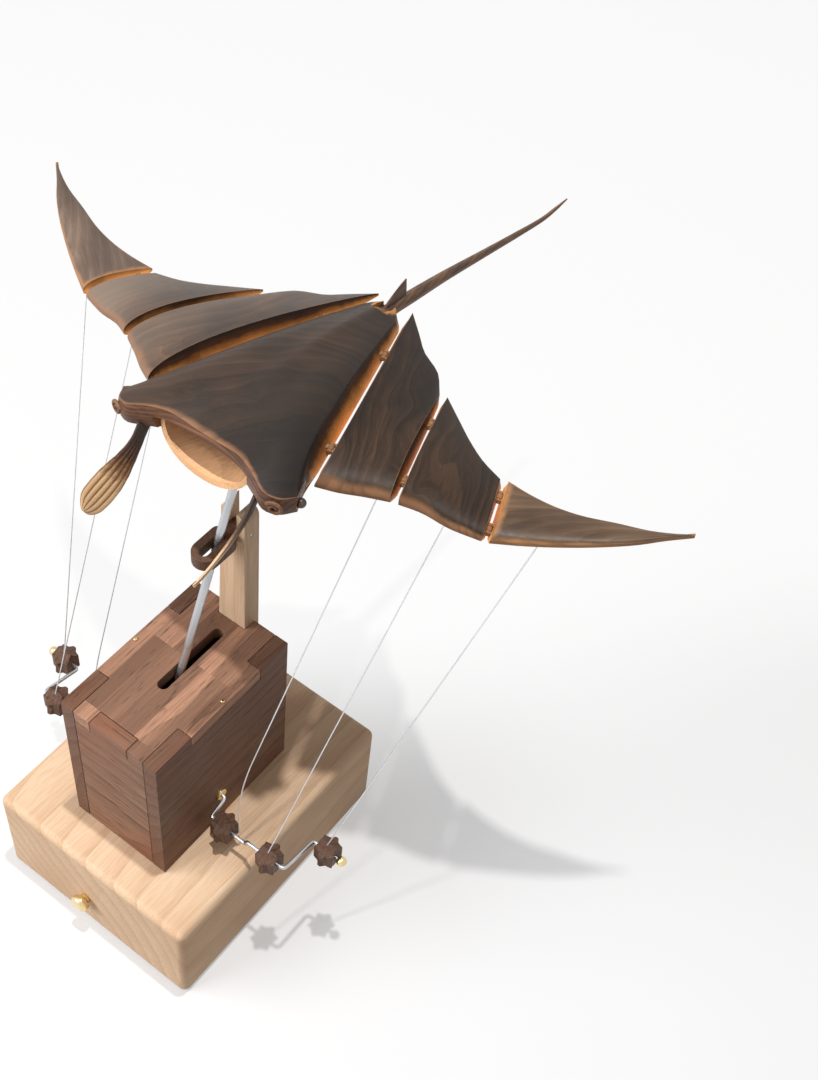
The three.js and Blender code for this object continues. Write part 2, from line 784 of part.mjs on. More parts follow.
function segmentRings(k) {
  const fronts = edgeCurve(frontShares[k]).getSpacedPoints(stationCounts[k]);
  const rears = edgeCurve(rearShares[k]).getSpacedPoints(stationCounts[k]);
  return fronts.map((front, i) => {
    const share = i / stationCounts[k];
    const height = lerp(seamHeights[k], seamHeights[k + 1], share);
    const depth = lerp(seamDepths[k], seamDepths[k + 1], share);
    let shift = null;
    if (i === 0) {
      shift = standBack(k, seamOuterBevels[k], 1);
    } else if (i === stationCounts[k] && k < 2) {
      shift = standBack(k + 1, seamInnerBevels[k + 1], -1);
    }
    return sectionRing(front, rears[i], height, depth, shift);
  });
}

// Body: stations from the left side of the head to the right
function bodyRing(side, station) {
  const s = Math.abs(station);
  const front = edgeCurve(lipShares).getPointAt(s);
  const line = seamLines[0];
  const corner = line.front.clone().addScaledVector(line.along, bodyCornerShare);
  const tip = onManta(bodyTipShares);
  const behind = s < cornerStationShare;
  const seamShare = behind
    ? bodyCornerShare
    : (bodyCornerShare * (1 - s)) / (1 - cornerStationShare);
  const rear = behind
    ? tip.lerp(corner, s / cornerStationShare)
    : line.front.clone().addScaledVector(line.along, seamShare);
  const rearTop = behind
    ? lerp(rearHeight, seamHeights[0] * swell(bodyCornerShare), s / cornerStationShare)
    : seamHeights[0] * swell(seamShare);
  const frontTop = noseLift + hornLift * Math.sin(Math.PI * s) ** 2;
  const back = standBack(0, bodyBevel, -1)(seamShare);
  const backShare = Math.min(1, s / cornerStationShare);
  const top = [];
  const bottom = [];
  for (const t of chordShares) {
    const middle = front.clone().lerp(rear, t);
    const arch = 4 * t * (1 - t) * (1 - s);
    const rise = rimThickness / 2 + lerp(frontTop, rearTop, t) + crownHeight * arch;
    const fall = rimThickness / 2 + lerp(chinDepth, seamDepths[0], t) + bellyDepth * arch;
    const shiftShare = t === 1 ? backShare : 0;
    top.push(middle.clone().addScaledVector(back.top, shiftShare).setZ(middle.z + rise));
    bottom.unshift(middle.clone().addScaledVector(back.bottom, shiftShare).setZ(middle.z - fall));
  }
  const ring = [...top, ...bottom];
  ring.forEach((p) => {
    p.x *= side;
  });
  return ring;
}

function bodyBlank() {
  const rings = [];
  for (let i = -bodyStations / 2; i <= bodyStations / 2; i++) {
    const station = i / (bodyStations / 2);
    rings.push(bodyRing(Math.sign(station) || 1, station));
  }
  return outward(skin(rings, true));
}

// Hinge: a knuckle on the inner piece between two cheeks on the outer one, on one pin
function hingeParts(seam, share) {
  const { front, along, outwards, axis } = seamLines[seam];
  const centre = front.clone().addScaledVector(along, share);
  const at = (offset) => centre.clone().addScaledVector(axis, offset);
  const upright = new THREE.Vector3().crossVectors(axis, outwards).normalize();
  const arm = (offset, length, sign) => {
    const geometry = new THREE.BoxGeometry(knuckleReach, length, knuckleRadius * 1.4);
    geometry.translate((sign * knuckleReach) / 2, 0, 0);
    geometry.applyMatrix4(new THREE.Matrix4().makeBasis(outwards, axis, upright));
    const place = at(offset);
    geometry.translate(place.x, place.y, place.z);
    const bare = bareOf(geometry);
    return outward(mergeVertices(bare, 1e-4));
  };
  const whole = knuckleLength + 2 * (cheekLength + glueGap * 2);
  const cheekPlace = knuckleLength / 2 + glueGap + cheekLength / 2;
  const bore = cylinder(hingePinRadius + runningGap, whole, axis, centre, hingePinSides, true);
  const inner = cylinder(knuckleRadius, knuckleLength, axis, centre, knuckleSides)
    .add(arm(0, knuckleLength, -1));
  const cheeks = [-1, 1].map((side) => cylinder(
    knuckleRadius, cheekLength, axis, at(side * cheekPlace), knuckleSides,
  ).add(arm(side * cheekPlace, cheekLength, 1)));
  const pin = cylinder(
    hingePinRadius, knuckleLength + 2 * (cheekLength + glueGap), axis, centre, hingePinSides,
  );
  const pocket = cylinder(knuckleRadius + glueGap, whole, axis, centre, knuckleSides, true);
  return { inner, cheeks, bore, pin, pocket };
}

const hinges = seamLines.map((line, seam) => hingeShares.map((share) => hingeParts(seam, share)));

function withInnerKnuckles(solid, seam) {
  let made = solid;
  for (const h of hinges[seam]) {
    made = made.subtract(h.pocket).add(h.inner).subtract(h.bore);
  }
  return made;
}

function withCheeks(solid, seam) {
  let made = solid;
  for (const h of hinges[seam]) {
    made = made.subtract(h.pocket);
    for (const cheek of h.cheeks) {
      made = made.add(cheek);
    }
    made = made.subtract(h.bore);
  }
  return made;
}

function mirrored(solid) {
  const geometry = geometryOf(solid);
  geometry.scale(-1, 1, 1);
  return outward(bareOf(geometry));
}

// Scoop-shaped mouth: rings from the front backwards, the section a deep D
function jawSkin(grow, roof, startY) {
  const placeShares = [0, 0.25, 0.5, 0.75, 0.92, 1];
  const rings = placeShares.map((share) => {
    const narrow = Math.sqrt(Math.max(1 - share ** 2.4, 0.02));
    const width = (jawHalfWidth + grow) * narrow;
    const deep = (jawDepth + grow) * narrow;
    const y = noseY + jawInset + (jawLength + grow) * share;
    const ring = [];
    const steps = 12;
    for (let k = 0; k <= steps; k++) {
      const angle = (Math.PI * k) / steps;
      const fall = Math.sin(angle) ** 0.85;
      const ahead = jawJut * fall * (1 - share);
      ring.push(new THREE.Vector3(width * Math.cos(angle), y - ahead, roof - deep * fall));
    }
    return ring;
  });
  if (startY !== null) {
    rings.unshift(rings[0].map((p) => p.clone().setY(startY)));
  }
  return outward(skin(rings, false));
}

const tailFrontY = noseY + mantaLength * tailFrontShare;
const tailEndY = tailFrontY + tailWidth / 2 + tailLength;
const tailLevel = mantaLevel - tailDrop;

function makeBody() {
  const jawRoof = mantaLevel + jawRise;
  const scoopStart = tailFrontY + scoopRadius;
  const scoop = new THREE.CapsuleGeometry(scoopRadius, mantaLength / 2, 4, 12);
  scoop.translate(0, mantaLength / 4, 0);
  scoop.translate(0, scoopStart, tailLevel + scoopRise);
  const tailSlot = box(
    -tailWidth / 2 - glueGap, tailWidth / 2 + glueGap,
    tailFrontY - glueGap, noseY + mantaLength + overrun,
    mantaLevel - mantaLength, mantaLevel + mantaLength,
  );
  const rodTop = rodCentre.clone().addScaledVector(alongRod, (rodTopLevel - rodCentre.z) / alongRod.z);
  const socketLength = bellyDepth * 4;
  const socket = cylinder(
    rodRadius + glueGap, socketLength, alongRod,
    rodTop.clone().addScaledVector(alongRod, glueGap - socketLength / 2), 16, true,
  );
  const mouth = jawSkin(glueGap, jawRoof, noseY - mantaLength / 4);
  const eyeSocket = eyeSolid(eyeRadius + glueGap);
  let body = bodyBlank()
    .subtract(solidOf(scoop))
    .subtract(tailSlot)
    .subtract(socket)
    .subtract(mouth)
    .subtract(eyeSocket)
    .subtract(mirrored(eyeSocket))
    .subtract(tailPinSolid(runningGap, true));
  body = withInnerKnuckles(body, 0);
  body = mirrored(withInnerKnuckles(mirrored(body), 0));
  place("manta_body", body, charred);

  const hollow = jawSkin(-jawWall, jawRoof + jawDepth / 2, noseY - mantaLength / 4);
  const trough = jawSkin(-jawWall, jawRoof - overrun, noseY - mantaLength / 4);
  place("lower_jaw", jawSkin(0, jawRoof, null).subtract(hollow).subtract(trough), paleWood);
}

function eyeSolid(radius) {
  const x = onManta(lipShares[lipShares.length - 1]).x;
  const eye = new THREE.SphereGeometry(radius, 12, 8);
  eye.translate(x, noseY + eyeSetback, mantaLevel - eyeDrop);
  return solidOf(eye);
}

function headFin() {
  const root = onManta(headFinRootShares);
  root.z -= rimThickness / 2 + chinDepth + headFinBelow;
  const route = new THREE.CatmullRomCurve3([
    [0, 0], [0.14, -0.3], [0.38, -0.62], [0.68, -0.86], [0.92, -0.98], [1, -1],
  ].map(([reach, fall]) => new THREE.Vector3(
    root.x, root.y - reach * headFinReach, root.z + fall * headFinDrop,
  )), false, "centripetal");
  const widthShares = [0.45, 0.43, 0.5, 0.66, 0.85, 0.98, 1, 0.84, 0.3];
  const lean = radians(headFinLean);
  const rings = widthShares.map((share, i) => {
    const along = i / (widthShares.length - 1);
    const point = route.getPointAt(along);
    const tangent = route.getTangentAt(along);
    const face = new THREE.Vector3(Math.cos(lean), 0, -Math.sin(lean));
    face.addScaledVector(tangent, -face.dot(tangent)).normalize();
    const across = tangent.clone().cross(face);
    const wide = (headFinWidth / 2) * share;
    const thick = (headFinThickness / 2) * (1 - along / 2);
    const ring = [];
    for (let k = 0; k < 10; k++) {
      const angle = (2 * Math.PI * k) / 10;
      ring.push(point.clone()
        .addScaledVector(across, wide * Math.cos(angle))
        .addScaledVector(face, thick * Math.sin(angle)));
    }
    return ring;
  });
  return outward(skin(rings, false));
}

function tailPinSolid(gap, hole) {
  return cylinder(
    tailPinRadius + gap, tailPinLength + gap * 2, sideways,
    new THREE.Vector3(0, tailFrontY + tailPinInset, tailLevel), 8, hole,
  );
}

function makeTail() {
  const placeShares = [0, 0.03, 0.15, 0.3, 0.5, 0.7, 0.86, 0.93, 1];
  const fallShares = [0, 0.02, 0.14, 0.3, 0.55, 0.8, 0.98, 1, 1];
  const widthShares = [1, 1, 0.95, 0.8, 0.62, 0.48, 0.36, 0.3, 0.12];
  const route = placeShares.map((share, i) => new THREE.Vector3(
    0,
    lerp(tailFrontY + tailWidth / 2, tailEndY, share),
    tailLevel - tailFall * fallShares[i],
  ));
  const rod = rodAlong(route, (i) => (tailWidth / 2) * widthShares[i], 10);
  const root = cylinder(
    tailWidth / 2, tailWidth, sideways,
    new THREE.Vector3(0, tailFrontY + tailWidth / 2, tailLevel), 16,
  );
  const fin = new THREE.Shape();
  const start = tailFrontY + tailWidth / 2;
  const low = tailLevel;
  fin.moveTo(start, low);
  fin.lineTo(start, low + tailWidth / 4);
  fin.quadraticCurveTo(
    start + dorsalLength * 0.5, low + dorsalHeight * 0.45,
    start + dorsalLength * 0.85, low + dorsalHeight,
  );
  fin.quadraticCurveTo(
    start + dorsalLength * 0.88, low + dorsalHeight * 0.4, start + dorsalLength, low - tailWidth / 8,
  );
  const plate = solidOf(acrossX(fin, dorsalThickness, 4));
  place("tail", rod.add(root).add(plate).subtract(tailPinSolid(runningGap, true)), charred);
  place("tail_pin", tailPinSolid(0, false), steel);
}

function makeWings() {
  const names = ["inner", "middle", "tip"];
  for (let k = 0; k < 3; k++) {
    let segment = withCheeks(outward(skin(segmentRings(k), true)), k);
    if (k < 2) {
      segment = withInnerKnuckles(segment, k + 1);
    }
    placePair("wing_SIDE_" + names[k], segment, k === 2 ? tipWood : charred);
    hinges[k].forEach((hinge, i) => {
      placePair("hinge_pin_SIDE_" + names[k] + "_" + ["front", "rear"][i], hinge.pin, brass);
    });
  }
}

// Wires: from a block's top point straight to the underside of a segment; the first wire
// starts beside its block and rises upright before it bends over
function makeWires() {
  starCentres.forEach((centre, k) => {
    const [alongShare, acrossShare] = wireShares[k];
    const ring = segmentRings(k)[Math.round(alongShare * stationCounts[k])];
    const chord = chordShares.findIndex((share) => share > acrossShare);
    const head = ring[ring.length - 1 - chord].clone();
    head.z -= glueGap + wireRadius;
    const foot = centre.clone();
    const corners = [foot, head];
    if (k === 0) {
      foot.x += starThickness / 2 + glueGap + wireRadius;
      foot.y += starRadius / 2;
      foot.z -= starRadius / 2;
      corners.splice(1, 0, foot.clone().setZ(foot.z + wireKnee));
    } else {
      foot.z += starRadius + glueGap;
    }
    const wire = rodAlong(bent(corners, wireBend, wireSides), () => wireRadius, wireSides);
    placePair("wire_SIDE_" + (k + 1), wire, steel);
  });
}

makeBase();
makeKnob();
makeBox();
makePost();
makeLink();
makeCrankshaft();
makeStarBlocks();
makeCrankBlock();
makeLiftRod();
makeBody();
placePair("head_fin_SIDE", headFin(), charred);
placePair("eye_SIDE", eyeSolid(eyeRadius), eyeGlass);
makeTail();
makeWings();
makeWires();

export default model;
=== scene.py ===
import json
import math

import bmesh
import bpy
from bpy.props import FloatProperty, FloatVectorProperty, PointerProperty
from mathutils import Matrix, Vector


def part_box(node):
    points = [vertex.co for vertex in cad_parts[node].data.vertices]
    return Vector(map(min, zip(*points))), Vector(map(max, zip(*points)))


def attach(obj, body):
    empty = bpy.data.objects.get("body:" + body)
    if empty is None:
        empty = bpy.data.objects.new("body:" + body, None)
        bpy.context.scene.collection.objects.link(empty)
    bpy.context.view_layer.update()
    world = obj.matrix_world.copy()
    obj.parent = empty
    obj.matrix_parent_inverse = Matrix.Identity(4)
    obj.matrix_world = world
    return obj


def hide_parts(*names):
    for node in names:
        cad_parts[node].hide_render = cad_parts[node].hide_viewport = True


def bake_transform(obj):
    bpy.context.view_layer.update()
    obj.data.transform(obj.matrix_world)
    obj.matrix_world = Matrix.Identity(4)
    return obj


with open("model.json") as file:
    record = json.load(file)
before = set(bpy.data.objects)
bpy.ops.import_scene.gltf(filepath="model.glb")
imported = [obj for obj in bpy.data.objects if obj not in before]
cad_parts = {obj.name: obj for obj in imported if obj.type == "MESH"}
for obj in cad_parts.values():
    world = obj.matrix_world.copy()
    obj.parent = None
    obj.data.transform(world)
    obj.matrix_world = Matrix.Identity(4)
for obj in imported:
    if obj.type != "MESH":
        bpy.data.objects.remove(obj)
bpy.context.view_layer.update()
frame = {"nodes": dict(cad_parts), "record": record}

bl_info = {
    "name": "Manta ray automaton",
    "version": (1, 0, 0),
    "blender": (4, 5, 0),
    "location": "3D View > Sidebar > Automaton",
    "description": "Builds the visible pieces of a jointed wooden manta ray on its crank box",
    "category": "Object",
}

MM = 0.001
QUARTER = math.pi / 2
SIDES = (("right", 1), ("left", -1))
SEGMENTS = ("inner", "middle", "tip")

# Outlines of the manta, as shares of its half span, its length and the drop of its seams
HALF_SPAN = 220 * MM
MANTA_LENGTH = 160 * MM
NOSE_Y = 20 * MM
MANTA_LEVEL = 366 * MM
WING_DROP = 18 * MM
LIP = (
    (0, 0, 0), (0.1, -0.008, 0.03), (0.165, -0.04, 0.1), (0.205, -0.062, 0.15),
    (0.238, -0.045, 0.2), (0.262, 0.01, 0.28),
)
BODY_TIP = (0, 0.99, 0.806)
BODY_CORNER = 0.919
CORNER_STATION = 0.15
FRONTS = (
    ((0.243, 0.103, 0.35), (0.3, 0.141, 0.42), (0.35, 0.184, 0.48), (0.412, 0.231, 0.54)),
    ((0.412, 0.231, 0.54), (0.468, 0.267, 0.7), (0.541, 0.289, 0.87), (0.621, 0.327, 1)),
    (
        (0.621, 0.327, 1), (0.693, 0.383, 0.9), (0.777, 0.455, 0.75), (0.85, 0.525, 0.6),
        (0.905, 0.588, 0.5), (0.949, 0.65, 0.42), (0.998, 0.712, 0.333),
    ),
)
REARS = (
    (
        (0.045, 0.991, 0.8), (0.111, 0.922, 0.85), (0.158, 0.871, 0.88), (0.186, 0.853, 0.89),
        (0.232, 0.824, 0.92), (0.284, 0.747, 0.944),
    ),
    (
        (0.284, 0.747, 0.944), (0.369, 0.679, 0.96), (0.42, 0.639, 0.97), (0.484, 0.599, 0.99),
        (0.552, 0.574, 1),
    ),
    (
        (0.552, 0.574, 1), (0.618, 0.566, 0.92), (0.686, 0.568, 0.83), (0.755, 0.584, 0.72),
        (0.832, 0.62, 0.6), (0.911, 0.655, 0.48), (0.982, 0.706, 0.36), (0.995, 0.722, 0.333),
    ),
)

# Thickness of the body and the wings, their seams and hinges
RIM = 1.6 * MM
SEAM_HEIGHTS = (10.5 * MM, 9.5 * MM, 4.6 * MM, 0.7 * MM)
SEAM_DEPTHS = (3 * MM, 2.8 * MM, 1.7 * MM, 0.4 * MM)
INNER_BEVELS = (6.6 * MM, 2.4 * MM, 0.9 * MM)
OUTER_BEVELS = (5.4 * MM, 2.8 * MM, 3.6 * MM)
SEAM_GAP = 1.2 * MM
SEAM_END_GAP = 4.4 * MM
SEAM_END_SHARE = 0.08
NOSE_LIFT = 4.4 * MM
HORN_LIFT = 3.5 * MM
CROWN = 11 * MM
CHIN = 5 * MM
BELLY = 9 * MM
REAR_HEIGHT = 3 * MM
HINGE_SHARES = (0.19, 0.727)
KNUCKLE_RADIUS = 1.6 * MM
KNUCKLE_LENGTH = 3 * MM
CHEEK_LENGTH = 1.6 * MM
SEAM_PIN_RADIUS = 1 * MM
ARM_LENGTH = 3.6 * MM
ARM_PLACE = 3.2 * MM
GLUE_GAP = 0.3 * MM
LIP_STEPS = 7
LIP_ROLL = 1.3 * MM
CHORDS = 26
STATIONS = (12, 12, 22)
BODY_STATIONS = 48

# Mouth, jaw, eyes and the scrolls at the mouth's corners
JAW_ROOF = 367.5 * MM
JAW_FRONT = 20.3 * MM
JAW_LENGTH = 35 * MM
JAW_JUT = 5.6 * MM
JAW_HALF_WIDTH = 30.6 * MM
JAW_DEPTH = 24 * MM
JAW_WALL = 2.6 * MM
JAW_LIFT = 1 * MM
JAW_CUT_START = -20 * MM
JAW_SHARES = (0, 0.12, 0.25, 0.4, 0.55, 0.7, 0.82, 0.91, 0.97, 1)
JAW_SIDES = 32
EYE_POLE = Vector((60.6, 22.5, 360.2)) * MM
EYE_SHARE = 0.86
EYE_INSET = 0.5 * MM
RING_INSIDE = (1.6 * MM, 2 * MM)
RING_OUTSIDE = (3.1 * MM, 2.6 * MM)
CURL_SHARE = 0.83
CURL_OFFSET = Vector((0, -2, 0.4)) * MM
CURL_STEPS = 40
CURL_REACH = (4.3 * MM, 1.1 * MM)
CURL_RADII = (1.15 * MM, 0.75 * MM)
CURL_TURN = (150, -350)

# The hollow and the notch at the rear of the body, round the tail's root
HOLLOW_PLACE = Vector((0, 171.5, 364)) * MM
HOLLOW_RADIUS = 9 * MM
HOLLOW_STRETCH = 1.15
HOLLOW_FADE = (12.2 * MM, 10.4 * MM)
NOTCH_SIZE = Vector((8.6, 40, 80)) * MM
NOTCH_LEVEL = 355 * MM
REAR_WALL_FROM = 9.5 * MM

# Head fins, as shares of their reach forwards and their fall
HEAD_FIN_ROOT = Vector((37.4, 13.44, 355.8)) * MM
HEAD_FIN_REACH = 46 * MM
HEAD_FIN_FALL = 24 * MM
HEAD_FIN_LINE = ((-0.03, 0.1), (0.14, -0.3), (0.38, -0.62), (0.68, -0.86), (0.92, -0.98), (1, -1))
HEAD_FIN_WIDTHS = (0.45, 0.43, 0.5, 0.66, 0.85, 0.98, 1, 0.94, 0.86)
HEAD_FIN_HALF_WIDTH = 9.2 * MM
HEAD_FIN_HALF_THICKNESS = 1.8 * MM
HEAD_FIN_LEAN = math.radians(28)
HEAD_FIN_GROOVES = 5
HEAD_FIN_STEPS = 40
HEAD_FIN_SIDES = 64

# Tail: rows of place along it, fall and width, as shares; its fin in mm from the tail's root
TAIL_START = 165.44 * MM
TAIL_END = 370.94 * MM
TAIL_LEVEL = 352 * MM
TAIL_DROP = 36.5 * MM
TAIL_RADIUS = 3.98 * MM
TAIL_ROOT_WIDTH = 7.9 * MM
TAIL_STEPS = 60
TAIL_SIDES = 24
TAIL_LINE = (
    (0, 0, 1), (0.03, 0.02, 1), (0.15, 0.14, 0.95), (0.3, 0.3, 0.8), (0.5, 0.55, 0.62),
    (0.7, 0.8, 0.48), (0.86, 0.98, 0.36), (0.93, 1, 0.3), (1, 1, 0.12),
)
TAIL_FIN_TOP = ((0, 2.4), (6, 6.4), (12, 9.8), (17.5, 12), (22, 13))
TAIL_FIN_UNDERSIDE = ((0, 0), (8, -1), (17, -1), (23, -1.5), (23.2, 6), (22, 13))
TAIL_FIN_HALF_THICKNESS = 1.3 * MM
TAIL_FIN_STEPS = 18
TAIL_FIN_SIDES = 16

# Lift rod and crankshaft; phases in degrees
ROD_LEAN = 21.7
ROD_ALONG = Vector((0, math.sin(math.radians(ROD_LEAN)), math.cos(math.radians(ROD_LEAN))))
ROD_RADIUS = 2.4 * MM
ROD_HOLE_RADIUS = 2.7 * MM
ROD_HOLE_LENGTH = 30 * MM
ROD_HOLE_DOWN = 14.5 * MM
ROD_TOP_INSET = 2.2 * MM
LINK_PIN_RADIUS = 1.2 * MM
CRANK_Y = -16 * MM
CRANK_Z = 105 * MM
CRANK_RADIUS = 1.2 * MM
CRANK_BEND = 3 * MM
CENTRAL_HALF_WIDTH = 12 * MM
CENTRAL_THROW = 20.2 * MM
CENTRAL_PHASE = 180 - ROD_LEAN
OUTER_THROW = 15 * MM
STAR_X = (51 * MM, 87.4 * MM, 109.6 * MM)
STAR_PHASES = (202, 178, 335)
STAR_TO_WEB = 9.8 * MM
STAR_TOP = 10.6 * MM
BALL_FLAT_FROM = 2.8 * MM
BALL_FLAT = 2.85 * MM
BUSH_BORE_RADIUS = 1.27 * MM

# Base, with the crank's well in its top and the knob on its front
BASE_ROUNDING = 5 * MM
WELL_SIZE = Vector((28.4, 62.8, 40)) * MM
WELL_RISE = 13 * MM
KNOB_AXLE_RADIUS = 2 * MM
KNOB_BORE_RADIUS = 2.2 * MM
AXLE_HOLE_RADIUS = 2.15 * MM
HOLE_OVERRUN = 2 * MM

# Wires: where each ends on its segment, as shares along and across it
WIRE_PLACES = ((0.75, 0.22), (0.6, 0.4), (2 / 7, 0.4))
WIRE_STEPS = 60
WIRE_FOOT = Vector((7.7, 5.15, -5.15)) * MM
WIRE_RISE = 52 * MM
WIRE_BEND = 45 * MM
WIRE_SUNK = 8 * MM
WIRE_LEAD = 20 * MM
WIRE_HEAD_GAP = 0.7 * MM

# Camera of the photograph, in metres
CAMERA_PLACE = Vector((0.34709, -0.35313, 0.91250))
CAMERA_RIGHT = Vector((0.7995, 0.5949, 0.0834))
CAMERA_UP = Vector((-0.5038, 0.5884, 0.6324))
CAMERA_LENS = 49.353
CAMERA_SENSOR = 36
FLOOR_HALF = 4.0

# Lamps: name, shape, size, power, place, aim, colour
LAMPS = (
    ("key", "DISK", 0.05, 17.5, (0.09, 0.03, 1.95), (0.09, 0.03, 0), (1.0, 0.985, 0.96)),
    ("window", "SQUARE", 1.1, 20.0, (-0.78, -1.02, 1.05), (0, 0.05, 0.2), (0.99, 0.99, 1.0)),
)

# Socket numbers of a colour mix
MIX_FACTOR, MIX_FIRST, MIX_SECOND, MIX_RESULT = 0, 6, 7, 2


class AutomatonSettings(bpy.types.PropertyGroup):
    """Sizes and colours a user may change before the pieces are built"""

    edge_bevel: FloatProperty(
        name="Edge rounding", description="Rounding of the box boards' edges",
        default=0.45 * MM, unit="LENGTH",
    )
    wire_radius: FloatProperty(
        name="Wire radius", description="Radius of the lifting wires",
        default=0.4 * MM, unit="LENGTH",
    )
    floor_colour: FloatVectorProperty(
        name="Floor", description="Colour of the plain floor",
        default=(0.58, 0.58, 0.585), subtype="COLOR",
    )
    maple_light: FloatVectorProperty(
        name="Maple, light", description="Early wood of the base and post",
        default=(0.9, 0.655, 0.45), subtype="COLOR",
    )
    maple_dark: FloatVectorProperty(
        name="Maple, dark", description="Late wood of the base and post",
        default=(0.6, 0.37, 0.21), subtype="COLOR",
    )
    walnut_light: FloatVectorProperty(
        name="Walnut, light", description="Early wood of the box",
        default=(0.31, 0.165, 0.105), subtype="COLOR",
    )
    walnut_dark: FloatVectorProperty(
        name="Walnut, dark", description="Late wood of the box",
        default=(0.055, 0.027, 0.018), subtype="COLOR",
    )
    char_colour: FloatVectorProperty(
        name="Charred wood", description="Scorched surface of the manta",
        default=(0.024, 0.0175, 0.0142), subtype="COLOR",
    )
    char_streak: FloatVectorProperty(
        name="Scorched streaks", description="Grain that shows through the scorched surface",
        default=(0.17, 0.092, 0.054), subtype="COLOR",
    )
    bare_edge: FloatVectorProperty(
        name="Bare edges", description="Edges where the scorched layer is rubbed away",
        default=(0.3, 0.15, 0.078), subtype="COLOR",
    )
    seam_colour: FloatVectorProperty(
        name="Seam faces", description="Toasted wood inside the seams",
        default=(0.62, 0.28, 0.085), subtype="COLOR",
    )
    fin_colour: FloatVectorProperty(
        name="Head fins", description="Bare wood at the tips of the head fins",
        default=(0.9, 0.57, 0.31), subtype="COLOR",
    )
    jaw_colour: FloatVectorProperty(
        name="Pale wood", description="Wood of the lower jaw",
        default=(0.95, 0.55, 0.29), subtype="COLOR",
    )


class Nodes:
    """Short calls that place and link the nodes of one tree."""

    def __init__(self, tree):
        self.tree = tree

    def add(self, kind, inputs=None, **settings):
        node = self.tree.nodes.new("ShaderNode" + kind)
        for key, value in settings.items():
            setattr(node, key, value)
        for key, value in (inputs or {}).items():
            self.feed(node, key, value)
        return node

    def feed(self, node, key, value):
        socket = node.inputs[key]
        if isinstance(value, bpy.types.NodeSocket):
            self.tree.links.new(value, socket)
        else:
            socket.default_value = value

    def math(self, operation, a, b=0.0, clamp=False):
        return self.add("Math", {0: a, 1: b}, operation=operation, use_clamp=clamp).outputs[0]

    def plus(self, a, b, clamp=False):
        return self.math("ADD", a, b, clamp)

    def minus(self, a, b):
        return self.math("SUBTRACT", a, b)

    def times(self, a, b, clamp=False):
        return self.math("MULTIPLY", a, b, clamp)

    def weighed(self, a, a_share, b, b_share, clamp=False):
        """The sum of a share of a and a share of b."""
        return self.plus(self.times(a, a_share), self.times(b, b_share), clamp)

    def stray(self, noise, amount):
        """A noise that strays to both sides of zero."""
        return self.times(self.minus(noise, 0.5), amount)

    def mix(self, factor, a, b):
        inputs = {MIX_FACTOR: factor, MIX_FIRST: a, MIX_SECOND: b}
        return self.add("Mix", inputs, data_type="RGBA").outputs[MIX_RESULT]

    def smooth(self, value, low, high, out_low=0.0, out_high=1.0):
        inputs = {0: value, 1: low, 2: high, 3: out_low, 4: out_high}
        return self.add("MapRange", inputs, interpolation_type="SMOOTHSTEP").outputs[0]

    def ramp(self, factor, stops):
        node = self.add("ValToRGB", {0: factor})
        elements = node.color_ramp.elements
        while len(elements) < len(stops):
            elements.new(0.5)
        for element, (place, colour) in zip(elements, stops):
            element.position = place
            element.color = rgba(colour)
        return node.outputs[0]

    def place(self):
        return self.add("TexCoord").outputs["Object"]

    def map_place(self, name):
        return self.add("UVMap", uv_map=name).outputs[0]

    def split(self, vector):
        return self.add("SeparateXYZ", {0: vector}).outputs

    def distance(self, a, b):
        return self.add("VectorMath", {0: a, 1: b}, operation="DISTANCE").outputs["Value"]

    def noise(self, vector, scale, detail):
        return self.add("TexNoise", {"Vector": vector, "Scale": scale, "Detail": detail}).outputs["Fac"]

    def drawn_out(self, vector, share):
        """Coordinates that run slower along Y, so that a pattern is drawn out along the grain."""
        return self.add("Mapping", {"Vector": vector, "Scale": (1, share, 1)}).outputs[0]

    def relief(self, shader, strength, depth, height):
        bump = self.add("Bump", {"Strength": strength, "Distance": depth, "Height": height})
        self.feed(shader, "Normal", bump.outputs[0])


def rgba(colour):
    return (*colour, 1)


def toned(colour, share):
    """The same colour made darker or lighter."""
    return tuple(min(1, c * share) for c in colour)


def new_group(name, inputs, outputs):
    """A shader node group with named sockets; inputs are (name, socket type, default)."""
    group = bpy.data.node_groups.new(name, "ShaderNodeTree")
    for label, kind, default in inputs:
        socket = group.interface.new_socket(name=label, in_out="INPUT", socket_type=kind)
        if default is not None:
            socket.default_value = default
    for label in outputs:
        group.interface.new_socket(name=label, in_out="OUTPUT", socket_type="NodeSocketFloat")
    source = group.nodes.new("NodeGroupInput").outputs
    sink = group.nodes.new("NodeGroupOutput").inputs
    return group, Nodes(group), source, sink


